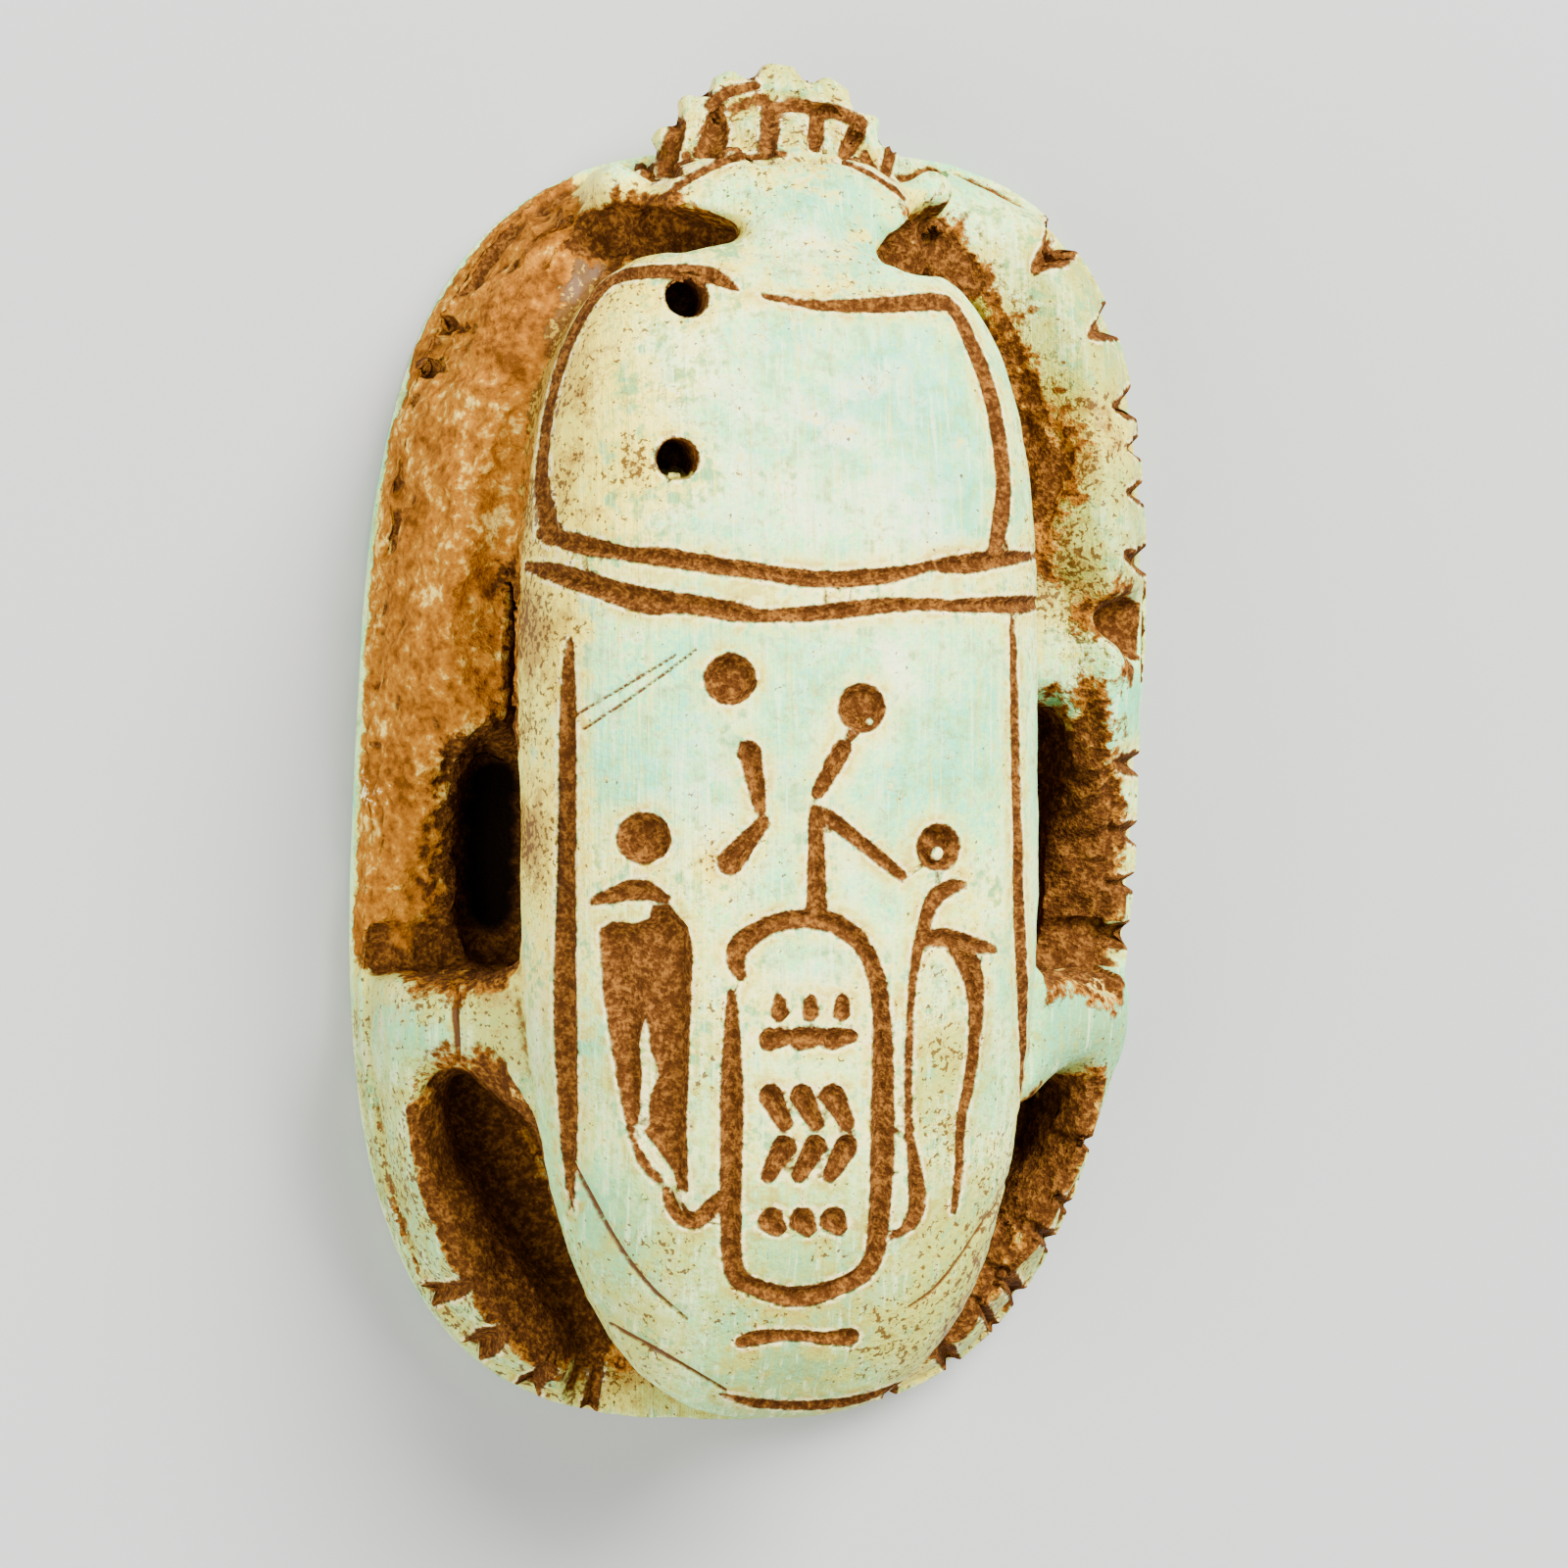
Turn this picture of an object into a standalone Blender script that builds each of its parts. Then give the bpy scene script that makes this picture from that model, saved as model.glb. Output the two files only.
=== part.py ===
"""A scarab amulet cut from one piece of glazed soft stone, lying on its flat underside.

Metres, +Z up. +Y points to the head, and +X is on the right as the beetle's back is seen from above.
The origin is on the underside, in the middle of the amulet's width.
"""

import math

import bmesh
import bpy
from mathutils import Matrix, Vector
from mathutils.bvhtree import BVHTree

MM = 0.001

# Oval base plate
BASE_HALF_WIDTH = 11.6 * MM
BASE_HEAD_LENGTH = 17.3 * MM
BASE_TAIL_LENGTH = 20.0 * MM
BASE_HEAD_FULLNESS = 3.1
BASE_TAIL_FULLNESS = 3.0
BASE_LEAN = 0.05  # the plate is cut a little askew to the body, towards +X at the head
BASE_LEAN_FROM_Y = -3.0 * MM
BASE_THICKNESS = 2.4 * MM
BASE_EDGE_BEVEL = 0.3 * MM
BASE_STEPS = 72

# Domed body, with the pronotum in front and the wing cases behind
BODY_HALF_WIDTH = 7.4 * MM
BODY_MIDDLE_X = -0.35 * MM
BODY_MIDDLE_Y = -1.0 * MM
BODY_HEAD_LENGTH = 14.9 * MM
BODY_TAIL_LENGTH = 18.1 * MM
BODY_SHOULDER_Z = 9.0 * MM
BODY_TOP_Z = 15.0 * MM
SINK = 1.0 * MM  # how far each carved mass runs down into the base plate

# Head and neck
HEAD_Y = 13.8 * MM
HEAD_HALF_WIDTH = 4.5 * MM
HEAD_HALF_LENGTH = 3.0 * MM
HEAD_MIDDLE_Z = 5.0 * MM
HEAD_TOP_Z = 9.3 * MM
NECK_Y = 13.3 * MM
NECK_HALF_WIDTH = 2.2 * MM
NECK_HALF_LENGTH = 2.1 * MM
NECK_TOP_Z = 10.9 * MM
EYE_SPREAD = 4.5 * MM
EYE_Y = 15.6 * MM
EYE_Z = 6.4 * MM
EYE_RADIUS = 0.9 * MM

# Toothed shield in front of the head
SHIELD_X = 0.2 * MM
SHIELD_Y = 15.4 * MM
SHIELD_RADIUS = 4.05 * MM
SHIELD_BAND = 1.25 * MM  # width of the toothed outer band
SHIELD_TOP_RADIUS = 0.9 * MM
SHIELD_LIP_Z = 4.2 * MM
SHIELD_LIP = 0.8 * MM
SHIELD_BAND_Z = 5.8 * MM
SHIELD_TOP_Z = 8.0 * MM
SHIELD_GROOVE = 0.3 * MM
TOOTH_NOTCH_DEGREES = (12, 29, 48, 74, 101, 123, 141, 160)
TOOTH_NOTCH_RADIUS = 0.85 * MM
RAY_DEGREES = (21, 37, 61, 89, 127, 150, 166)
RAY_RADIUS = 0.42 * MM

# Legs, carved along the rim. Rows run from front to back: place along the amulet as a share of the base
# plate's length ahead of or behind its middle, then in millimetres the height of the outer edge, the inset
# and height of the crest, and the inset and height of the inner edge.
LEG_INSET = 0.25 * MM
FORELEG_ROWS = (
    (0.983, 3.0, 1.0, 4.6, 2.6, 4.9),
    (0.89, 3.4, 1.5, 5.7, 4.0, 5.6),
    (0.722, 3.6, 2.1, 6.7, 4.6, 5.4),
    (0.52, 3.7, 2.2, 7.0, 4.6, 5.3),
    (0.283, 3.7, 2.2, 6.8, 4.4, 5.6),
)
MIDLEG_ROWS = (
    (0.306, 3.5, 2.0, 6.6, 3.3, 5.8),
    (0.144, 3.4, 2.0, 6.4, 3.3, 5.4),
    (-0.03, 3.2, 1.9, 5.4, 3.1, 4.6),
    (-0.16, 2.9, 1.6, 3.7, 3.1, 3.2),
    (-0.28, 2.7, 1.2, 3.0, 2.9, 2.7),
)
HINDLEG_ROWS = (
    (-0.335, 3.7, 1.0, 6.5, 2.4, 6.6),
    (-0.46, 3.8, 1.0, 6.5, 2.2, 6.0),
    (-0.625, 3.6, 1.0, 6.0, 2.2, 4.9),
    (-0.79, 3.4, 1.2, 5.4, 3.0, 4.6),
    (-0.91, 3.1, 1.2, 4.6, 3.0, 4.2),
    (-0.975, 2.8, 0.8, 3.6, 1.8, 3.4),
)
LEG_FOOT_SPREAD = 0.5 * MM
# Thighs, from inside the body out to the rim: inset from the rim, front, back and top, in millimetres
THIGH_PLACE = -0.415
THIGH_ROWS = (
    (6.4, -5.2, -11.4, 9.5),
    (4.2, -5.8, -10.8, 9.2),
    (3.0, -6.3, -9.7, 8.3),
    (1.5, -6.8, -9.4, 7.3),
    (0.35, -7.0, -9.6, 5.6),
)
THIGH_EDGE = 0.9 * MM

# File cuts in the rim: place along the amulet, as for the legs, and radius in millimetres
RIM_CUTS_RIGHT = (
    (0.861, 0.6), (0.711, 0.5), (0.572, 0.45), (0.497, 0.35), (0.416, 0.35), (0.301, 0.4), (-0.04, 0.4),
    (-0.14, 0.35), (-0.215, 0.35), (-0.295, 0.45), (-0.6, 0.5), (-0.69, 0.5), (-0.795, 0.55), (-0.865, 0.5),
    (-0.935, 0.45),
)
RIM_CUTS_LEFT = (
    (0.902, 0.45), (0.815, 0.45), (0.699, 0.5), (0.624, 0.4), (-0.81, 0.45), (-0.895, 0.55), (-0.955, 0.5),
)
RIM_CUT_LENGTH = 3.4 * MM
RIM_CUT_GROWTH = 1.2  # the file rocks in its cut and opens it by this much
RIM_CUT_SLOPE = math.radians(58)

# Hollows at the sides, between the middle and hind legs, that run in under the body
POCKET_INNER_X = 3.4 * MM
POCKET_OUTER_X = 8.4 * MM
POCKET_FRONT_Y = -0.9 * MM
POCKET_BACK_Y = -6.5 * MM
POCKET_FLOOR_Z = 1.5 * MM
POCKET_ROOF_Z = 8.0 * MM
POCKET_ROUNDING = 0.6 * MM

# Piercing from head to tail for a cord, and the two drill holes in the pronotum
BORE_RADIUS = 0.8 * MM
BORE_SIDES = 14
BORE_OVERRUN = 1.0 * MM
BORE_Z = 3.6 * MM
DRILL_RADIUS = 0.47 * MM
DRILL_DEPTH = 3.0 * MM
DRILL_HOLES = ((-3.3, 12.0), (-3.8, 7.5))

# Slots between head and pronotum, as outlines in millimetres
SLOT_FLOOR_Z = 6.2 * MM
SLOT_LEFT = ((-6.6, 14.7), (-3.0, 14.7), (-0.9, 14.1), (-3.0, 13.5), (-6.6, 13.3))
SLOT_RIGHT = ((2.3, 13.3), (4.3, 15.1), (6.4, 14.6), (6.0, 12.9), (3.0, 12.9))

# Wedge between foreleg and middle leg on the right
KNEE_FLOOR_Z = 3.1 * MM
KNEE_WEDGE = ((9.2, 3.4), (12.9, 4.6), (12.9, 1.2))

# Cut lines on the back, as points in millimetres that a line runs through
LINE_RADIUS = 0.3 * MM
LINE_STEP = 1.1 * MM
BACK_LINES = {
    "pronotum_edge_left": (
        (-2.0, 12.2), (-3.3, 12.75), (-5.0, 12.6), (-6.1, 11.6), (-6.8, 10.0), (-7.15, 8.2), (-7.2, 6.4),
        (-7.0, 5.2),
    ),
    "pronotum_edge_right": (
        (-0.4, 11.9), (1.5, 11.7), (3.6, 11.7), (4.3, 11.1), (4.9, 9.5), (5.3, 7.6), (5.45, 5.2),
    ),
    "waist_line_front": ((-7.1, 4.9), (-4.1, 4.2), (-1.7, 3.95), (0.4, 4.1), (3.4, 4.6), (6.3, 4.85)),
    "waist_line_back": ((-6.6, 4.1), (-4.1, 3.35), (-2.0, 3.1), (-0.1, 3.2), (3.1, 3.45), (7.0, 3.6)),
    "wing_edge_left": ((-6.55, 3.0), (-6.6, -5.0), (-6.6, -12.4)),
    "wing_edge_right": ((5.85, 3.0), (6.1, -4.0), (6.2, -10.6)),
    "cobra_left_brow": ((-6.0, -4.45), (-5.2, -4.0), (-4.2, -4.3)),
    "cobra_left_tail": ((-4.1, -12.2), (-3.85, -12.95), (-3.3, -12.8), (-2.5, -12.5)),
    "cobra_right_front": ((4.0, -4.0), (3.1, -4.7), (2.7, -6.1), (2.6, -8.7), (2.7, -12.7), (1.9, -13.6)),
    "cobra_right_back": ((3.1, -5.5), (4.2, -6.0), (4.4, -7.0), (4.0, -8.7), (3.8, -11.4), (3.8, -13.0)),
    "tail_stroke": ((-1.9, -16.4), (1.1, -16.5)),
    "upper_stroke_left": ((-2.2, -0.3), (-1.75, -1.2), (-1.7, -2.2), (-2.5, -3.5)),
    "upper_stroke_right": ((0.2, -0.25), (-0.35, -2.0), (-0.3, -4.4)),
    "upper_branch_right": ((-0.3, -2.1), (1.0, -3.0), (2.1, -3.6)),
}
COBRA_LEFT_HOOD = (
    (-5.7, -5.3), (-5.6, -7.8), (-5.3, -10.4), (-4.6, -12.2), (-4.0, -12.5), (-3.6, -11.0), (-3.5, -6.6),
    (-3.6, -5.2), (-4.3, -4.7),
)
HOOD_DEPTH = 0.5 * MM
SUN_DISCS = ((-2.5, 1.6), (1.1, 0.8), (-4.9, -2.7), (3.2, -3.0))
DISC_RADIUS = 0.75 * MM
DISC_DEPTH = 0.55 * MM
CARTOUCHE_MIDDLE = (-0.3, -10.1)
CARTOUCHE_HALF_WIDTH = 2.15
CARTOUCHE_HALF_LENGTH = 5.2
CARTOUCHE_END_STEPS = 6

GLAZE_COLOUR = (0.52, 0.66, 0.52, 1.0)
GLAZE_ROUGHNESS = 0.45


def new_collection(name):
    made = bpy.data.collections.new(name)
    bpy.context.scene.collection.children.link(made)
    return made


def add_mesh(name, bm, home):
    """An object made of this bmesh, with its faces pointing out."""
    bmesh.ops.recalc_face_normals(bm, faces=bm.faces)
    mesh = bpy.data.meshes.new(name)
    bm.to_mesh(mesh)
    bm.free()
    obj = bpy.data.objects.new(name, mesh)
    home.objects.link(obj)
    return obj


def signed_power(value, exponent):
    return math.copysign(abs(value) ** exponent, value)


def rim_lean(y):
    """How far the middle of the base plate lies to the side at this y."""
    return BASE_LEAN * (y - BASE_LEAN_FROM_Y)


def rim_point(side, place, inset=0.0):
    """A point of the base plate's outline, moved in by inset, and the outline's normal there.

    place is the share of the plate's length, from 1 at the head to -1 at the tail.
    """
    length = BASE_HEAD_LENGTH if place > 0 else BASE_TAIL_LENGTH
    fullness = BASE_HEAD_FULLNESS if place > 0 else BASE_TAIL_FULLNESS
    share = abs(place)
    x = BASE_HALF_WIDTH * (1 - share**fullness) ** (1 / fullness)
    y = place * length
    steep = (x / BASE_HALF_WIDTH) ** (fullness - 1) / BASE_HALF_WIDTH
    along = math.copysign(share ** (fullness - 1) / length, place)
    normal = Vector((side * steep, along, 0)).normalized()
    return Vector((side * x + rim_lean(y), y, 0)) - normal * inset, normal


def base_plate(home):
    """The oval plate: its outline as a flat curve, thickened, with its edges taken off."""
    outline = bpy.data.curves.new("base_outline", "CURVE")
    outline.dimensions = "2D"
    outline.fill_mode = "BOTH"
    outline.extrude = BASE_THICKNESS / 2
    spline = outline.splines.new("POLY")
    spline.points.add(BASE_STEPS - 1)
    spline.use_cyclic_u = True
    for step, point in enumerate(spline.points):
        angle = math.tau * step / BASE_STEPS
        headward = math.sin(angle) > 0
        length = BASE_HEAD_LENGTH if headward else BASE_TAIL_LENGTH
        fullness = BASE_HEAD_FULLNESS if headward else BASE_TAIL_FULLNESS
        x = BASE_HALF_WIDTH * signed_power(math.cos(angle), 2 / fullness)
        y = length * signed_power(math.sin(angle), 2 / fullness)
        point.co = (x + rim_lean(y), y, 0, 1)
    flat = bpy.data.objects.new("base_outline", outline)
    home.objects.link(flat)
    flat.location.z = BASE_THICKNESS / 2
    plate = mesh_from_curve("base_plate", flat, home)
    bevel = plate.modifiers.new("edges", "BEVEL")
    bevel.width = BASE_EDGE_BEVEL
    bevel.segments = 1
    bevel.limit_method = "ANGLE"
    bevel.angle_limit = math.radians(60)
    return plate


def mesh_from_curve(name, curve_object, home):
    """The evaluated curve as a mesh with its caps welded on. The curve object is removed."""
    bpy.context.view_layer.update()
    graph = bpy.context.evaluated_depsgraph_get()
    mesh = bpy.data.meshes.new_from_object(curve_object.evaluated_get(graph))
    bm = bmesh.new()
    bm.from_mesh(mesh)
    bmesh.ops.remove_doubles(bm, verts=bm.verts, dist=0.01 * MM)
    bm.transform(curve_object.matrix_world)
    bpy.data.meshes.remove(mesh)
    bpy.data.objects.remove(curve_object)
    return add_mesh(name, bm, home)


def rounded_mass(name, home, centre, half_width, lengths, heights, plan, section, segments=24, rings=12):
    """A ball drawn out to these half sizes. lengths is (headward, tailward) and heights is (up, down).

    plan and section say how square it is from above and from the side, for the same two ends: 2 is round.
    """
    bm = bmesh.new()
    turned = Matrix.Rotation(math.pi / 2, 4, "X")
    bmesh.ops.create_uvsphere(bm, u_segments=segments, v_segments=rings, radius=1.0, matrix=turned)
    for vertex in bm.verts:
        x, y, z = vertex.co
        length, fullness = (lengths[0], plan[0]) if y > 0 else (lengths[1], plan[1])
        height, roundness = (heights[0], section[0]) if z > 0 else (heights[1], section[1])
        level = (abs(x) ** fullness + abs(y) ** fullness) ** (1 / fullness)
        reach = (level**roundness + abs(z) ** roundness) ** (-1 / roundness)
        vertex.co = Vector((x * half_width, y * length, z * height)) * reach + Vector(centre)
    return add_mesh(name, bm, home)


def body(home):
    return rounded_mass(
        "body",
        home,
        (BODY_MIDDLE_X, BODY_MIDDLE_Y, BODY_SHOULDER_Z),
        BODY_HALF_WIDTH,
        (BODY_HEAD_LENGTH, BODY_TAIL_LENGTH),
        (BODY_TOP_Z - BODY_SHOULDER_Z, BODY_SHOULDER_Z - BASE_THICKNESS + SINK),
        plan=(3.5, 2.7),
        section=(2.3, 3.0),
        segments=40,
        rings=30,
    )


def head(home):
    """The head, the neck that joins it to the pronotum, and the two eyes."""
    rounded_mass(
        "head",
        home,
        (0, HEAD_Y, HEAD_MIDDLE_Z),
        HEAD_HALF_WIDTH,
        (HEAD_HALF_LENGTH, HEAD_HALF_LENGTH),
        (HEAD_TOP_Z - HEAD_MIDDLE_Z, HEAD_MIDDLE_Z - BASE_THICKNESS + SINK),
        plan=(2.3, 2.3),
        section=(4.0, 2.2),
    )
    rounded_mass(
        "neck",
        home,
        (0, NECK_Y, HEAD_MIDDLE_Z),
        NECK_HALF_WIDTH,
        (NECK_HALF_LENGTH, NECK_HALF_LENGTH),
        (NECK_TOP_Z - HEAD_MIDDLE_Z, HEAD_MIDDLE_Z - BASE_THICKNESS),
        plan=(3, 3),
        section=(3, 3),
        segments=16,
        rings=8,
    )
    for side in (-1, 1):
        rounded_mass(
            f"eye_{side}",
            home,
            (side * EYE_SPREAD, EYE_Y, EYE_Z),
            EYE_RADIUS,
            (EYE_RADIUS, EYE_RADIUS),
            (EYE_RADIUS, EYE_Z - BASE_THICKNESS + SINK),
            plan=(2, 2),
            section=(2, 4),
            segments=12,
            rings=6,
        )


def shield(home):
    """The fan in front of the head: a turned form with an outer band, a groove and a raised middle."""
    inner = SHIELD_RADIUS - SHIELD_BAND
    profile = (
        (0, SHIELD_TOP_Z),
        (SHIELD_TOP_RADIUS, SHIELD_TOP_Z),
        (inner - SHIELD_GROOVE, SHIELD_BAND_Z + SHIELD_GROOVE),
        (inner, SHIELD_BAND_Z - SHIELD_GROOVE),
        (inner + SHIELD_GROOVE, SHIELD_BAND_Z),
        (SHIELD_RADIUS, SHIELD_LIP_Z + SHIELD_LIP),
        (SHIELD_RADIUS, SHIELD_LIP_Z),
        (0, SHIELD_LIP_Z),
    )
    mesh = bpy.data.meshes.new("shield")
    points = [(radius, 0, z) for radius, z in profile]
    edges = [(i, i + 1) for i in range(len(profile) - 1)]
    mesh.from_pydata(points, edges, [])
    fan = bpy.data.objects.new("shield", mesh)
    home.objects.link(fan)
    fan.location = (SHIELD_X, SHIELD_Y, 0)
    turn = fan.modifiers.new("turn", "SCREW")
    turn.steps = 40
    turn.render_steps = 40
    turn.use_merge_vertices = True
    turn.merge_threshold = 0.00001


def close_loft(bm, rings):
    """Faces from each ring of vertices to the next, and across the first and last."""
    count = len(rings[0])
    for near, far in zip(rings, rings[1:]):
        for i in range(count):
            j = (i + 1) % count
            bm.faces.new((near[i], near[j], far[j], far[i]))
    bm.faces.new(rings[0])
    bm.faces.new(rings[-1])


def leg(name, side, rows, home):
    """A leg along the rim, lofted through one cross-section for each row."""
    bm = bmesh.new()
    rings = []
    foot_z = BASE_THICKNESS - SINK
    for share, edge_z, crest_inset, crest_z, inner_inset, inner_z in rows:
        section = (
            (LEG_INSET, foot_z),
            (LEG_INSET, edge_z * MM),
            ((crest_inset * MM + LEG_INSET) * 0.45, (0.35 * edge_z + 0.65 * crest_z) * MM),
            (crest_inset * MM, crest_z * MM),
            (inner_inset * MM, inner_z * MM),
            (inner_inset * MM + LEG_FOOT_SPREAD, foot_z),
        )
        ring = []
        for inset, z in section:
            place, _ = rim_point(side, share, inset)
            ring.append(bm.verts.new((place.x, place.y, z)))
        rings.append(ring)
    close_loft(bm, rings)
    return add_mesh(name, bm, home)


def thigh(side, home):
    """A bent back thigh, lofted from inside the body out to the rim."""
    bm = bmesh.new()
    rings = []
    foot_z = BASE_THICKNESS - SINK
    rim_x = rim_point(side, THIGH_PLACE)[0].x
    for inset, front, back, top in THIGH_ROWS:
        front_y, back_y, top_z = front * MM, back * MM, top * MM
        section = (
            (front_y, foot_z),
            (front_y, top_z - THIGH_EDGE),
            (front_y - THIGH_EDGE * 0.7, top_z),
            (back_y + THIGH_EDGE, top_z),
            (back_y, top_z - THIGH_EDGE),
            (back_y, foot_z),
        )
        rings.append([bm.verts.new((rim_x - side * inset * MM, y, z)) for y, z in section])
    close_loft(bm, rings)
    return add_mesh(f"thigh_{side}", bm, home)


def legs(home):
    for side in (-1, 1):
        leg(f"foreleg_{side}", side, FORELEG_ROWS, home)
        leg(f"midleg_{side}", side, MIDLEG_ROWS, home)
        leg(f"hindleg_{side}", side, HINDLEG_ROWS, home)
        thigh(side, home)


def add_boolean(obj, operation, operand):
    cut = obj.modifiers.new(operation.lower(), "BOOLEAN")
    cut.operation = operation
    cut.operand_type = "COLLECTION"
    cut.collection = operand
    cut.solver = "EXACT"


class Surface:
    """The carved masses joined, to lay the cutters of the lines on."""

    def __init__(self, obj):
        bpy.context.view_layer.update()
        graph = bpy.context.evaluated_depsgraph_get()
        self.tree = BVHTree.FromObject(obj, graph)

    def height(self, x, y):
        above = Vector((x, y, BODY_TOP_Z * 2))
        hit = self.tree.ray_cast(above, Vector((0, 0, -1)))[0]
        return hit.z


def smooth_path(points, step):
    """Points at about this spacing along a smooth curve through the given ones."""
    places = [Vector((x * MM, y * MM)) for x, y in points]
    padded = [places[0] * 2 - places[1], *places, places[-1] * 2 - places[-2]]
    path = []
    for before, start, end, after in zip(padded, padded[1:], padded[2:], padded[3:]):
        pieces = max(1, round((end - start).length / step))
        for i in range(pieces):
            t = i / pieces
            path.append(
                0.5
                * (
                    2 * start
                    + (end - before) * t
                    + (2 * before - 5 * start + 4 * end - after) * t**2
                    + (3 * start - before - 3 * end + after) * t**3
                )
            )
    path.append(places[-1])
    return path


def line_cutter(name, path, surface, home, closed=False):
    """A square rod, laid on edge along the surface, that cuts a V-shaped line."""
    line = bpy.data.curves.new(name, "CURVE")
    line.dimensions = "3D"
    line.twist_mode = "Z_UP"
    line.bevel_depth = LINE_RADIUS
    line.bevel_resolution = 0
    line.use_fill_caps = not closed
    spline = line.splines.new("POLY")
    spline.points.add(len(path) - 1)
    spline.use_cyclic_u = closed
    for point, place in zip(spline.points, path):
        point.co = (place.x, place.y, surface.height(place.x, place.y), 1)
    rod = bpy.data.objects.new(name, line)
    home.objects.link(rod)
    return mesh_from_curve(name, rod, home)


def cartouche_path():
    """The rounded frame of the inscription: two half circles joined by straight sides."""
    middle_x, middle_y = CARTOUCHE_MIDDLE
    straight = CARTOUCHE_HALF_LENGTH - CARTOUCHE_HALF_WIDTH
    points = []
    for end in (1, -1):
        for step in range(CARTOUCHE_END_STEPS + 1):
            angle = math.pi * step / CARTOUCHE_END_STEPS
            x = middle_x + end * CARTOUCHE_HALF_WIDTH * math.cos(angle)
            y = middle_y + end * (straight + CARTOUCHE_HALF_WIDTH * math.sin(angle))
            points.append(Vector((x * MM, y * MM)))
        side_x = points[-1].x
        for share in (0.25, 0.5, 0.75):
            points.append(Vector((side_x, (middle_y + end * straight * (1 - 2 * share)) * MM)))
    return points


def pit_cutter(name, x, y, radius, depth, surface, home):
    """A drill that goes straight down into the surface."""
    top = surface.height(x * MM, y * MM) + 1.0 * MM
    bm = bmesh.new()
    length = depth + 1.0 * MM
    place = Matrix.Translation((x * MM, y * MM, top - length / 2))
    bmesh.ops.create_cone(
        bm, cap_ends=True, segments=14, radius1=radius, radius2=radius, depth=length, matrix=place
    )
    return add_mesh(name, bm, home)


def sunk_cutter(name, outline, depth, surface, home):
    """A block whose foot lies at an even depth under the surface inside this outline."""
    bm = bmesh.new()
    foot = []
    for x, y in outline:
        foot.append(bm.verts.new((x * MM, y * MM, surface.height(x * MM, y * MM) - depth)))
    floor = bm.faces.new(foot)
    raised = bmesh.ops.extrude_face_region(bm, geom=[floor])
    top = [item for item in raised["geom"] if isinstance(item, bmesh.types.BMVert)]
    bmesh.ops.translate(bm, verts=top, vec=(0, 0, depth + 2 * MM))
    bmesh.ops.triangulate(bm, faces=bm.faces)
    return add_mesh(name, bm, home)


def slot_cutter(name, outline, floor_z, home):
    """A prism from this floor to above the amulet."""
    bm = bmesh.new()
    floor = bm.faces.new([bm.verts.new((x * MM, y * MM, floor_z)) for x, y in outline])
    raised = bmesh.ops.extrude_face_region(bm, geom=[floor])
    top = [item for item in raised["geom"] if isinstance(item, bmesh.types.BMVert)]
    bmesh.ops.translate(bm, verts=top, vec=(0, 0, BODY_TOP_Z))
    return add_mesh(name, bm, home)


def back_cutters(surface, home):
    """The lines, discs and sunk hood on the back."""
    for name, points in BACK_LINES.items():
        line_cutter(name, smooth_path(points, LINE_STEP), surface, home)
    line_cutter("cartouche", cartouche_path(), surface, home, closed=True)
    sunk_cutter("cobra_left_hood", COBRA_LEFT_HOOD, HOOD_DEPTH, surface, home)
    for index, (x, y) in enumerate(SUN_DISCS):
        pit_cutter(f"sun_disc_{index}", x, y, DISC_RADIUS, DISC_DEPTH, surface, home)
    for index, (x, y) in enumerate(DRILL_HOLES):
        pit_cutter(f"drill_hole_{index}", x, y, DRILL_RADIUS, DRILL_DEPTH, surface, home)


def rod_cutter(name, start, end, radius, sides, home, corner=None):
    """A straight rod between two points. One of its corners points the way corner does."""
    start, end = Vector(start), Vector(end)
    along = (end - start).normalized()
    across = along.cross(corner or along.orthogonal()).normalized()
    up = across.cross(along)
    place = Matrix((across, up, along)).transposed().to_4x4()
    place.translation = (start + end) / 2
    bm = bmesh.new()
    bmesh.ops.create_cone(
        bm,
        cap_ends=True,
        segments=sides,
        radius1=radius,
        radius2=radius,
        depth=(end - start).length,
        matrix=place,
    )
    return add_mesh(name, bm, home)


def shield_cutters(home):
    """The notches between the shield's teeth, and the rays across its inner slope."""
    middle = Vector((SHIELD_X, SHIELD_Y, 0))
    up = Vector((0, 0, 1))
    for degrees in TOOTH_NOTCH_DEGREES:
        way = Vector((math.cos(math.radians(degrees)), math.sin(math.radians(degrees)), 0))
        place = middle + way * SHIELD_RADIUS
        below = place + way * 0.55 * MM + up * (SHIELD_LIP_Z - 1 * MM)
        above = place + way * 0.15 * MM + up * (SHIELD_BAND_Z + 0.8 * MM)
        rod_cutter(f"tooth_notch_{degrees}", below, above, TOOTH_NOTCH_RADIUS, 4, home, corner=-way)
    for degrees in RAY_DEGREES:
        way = Vector((math.cos(math.radians(degrees)), math.sin(math.radians(degrees)), 0))
        outer = middle + way * (SHIELD_RADIUS - SHIELD_BAND) + up * (SHIELD_BAND_Z + 0.2 * MM)
        inner = middle + way * SHIELD_TOP_RADIUS + up * (SHIELD_TOP_Z + 0.3 * MM)
        rod_cutter(f"ray_{degrees}", outer, inner, RAY_RADIUS, 4, home, corner=-up)


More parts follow.
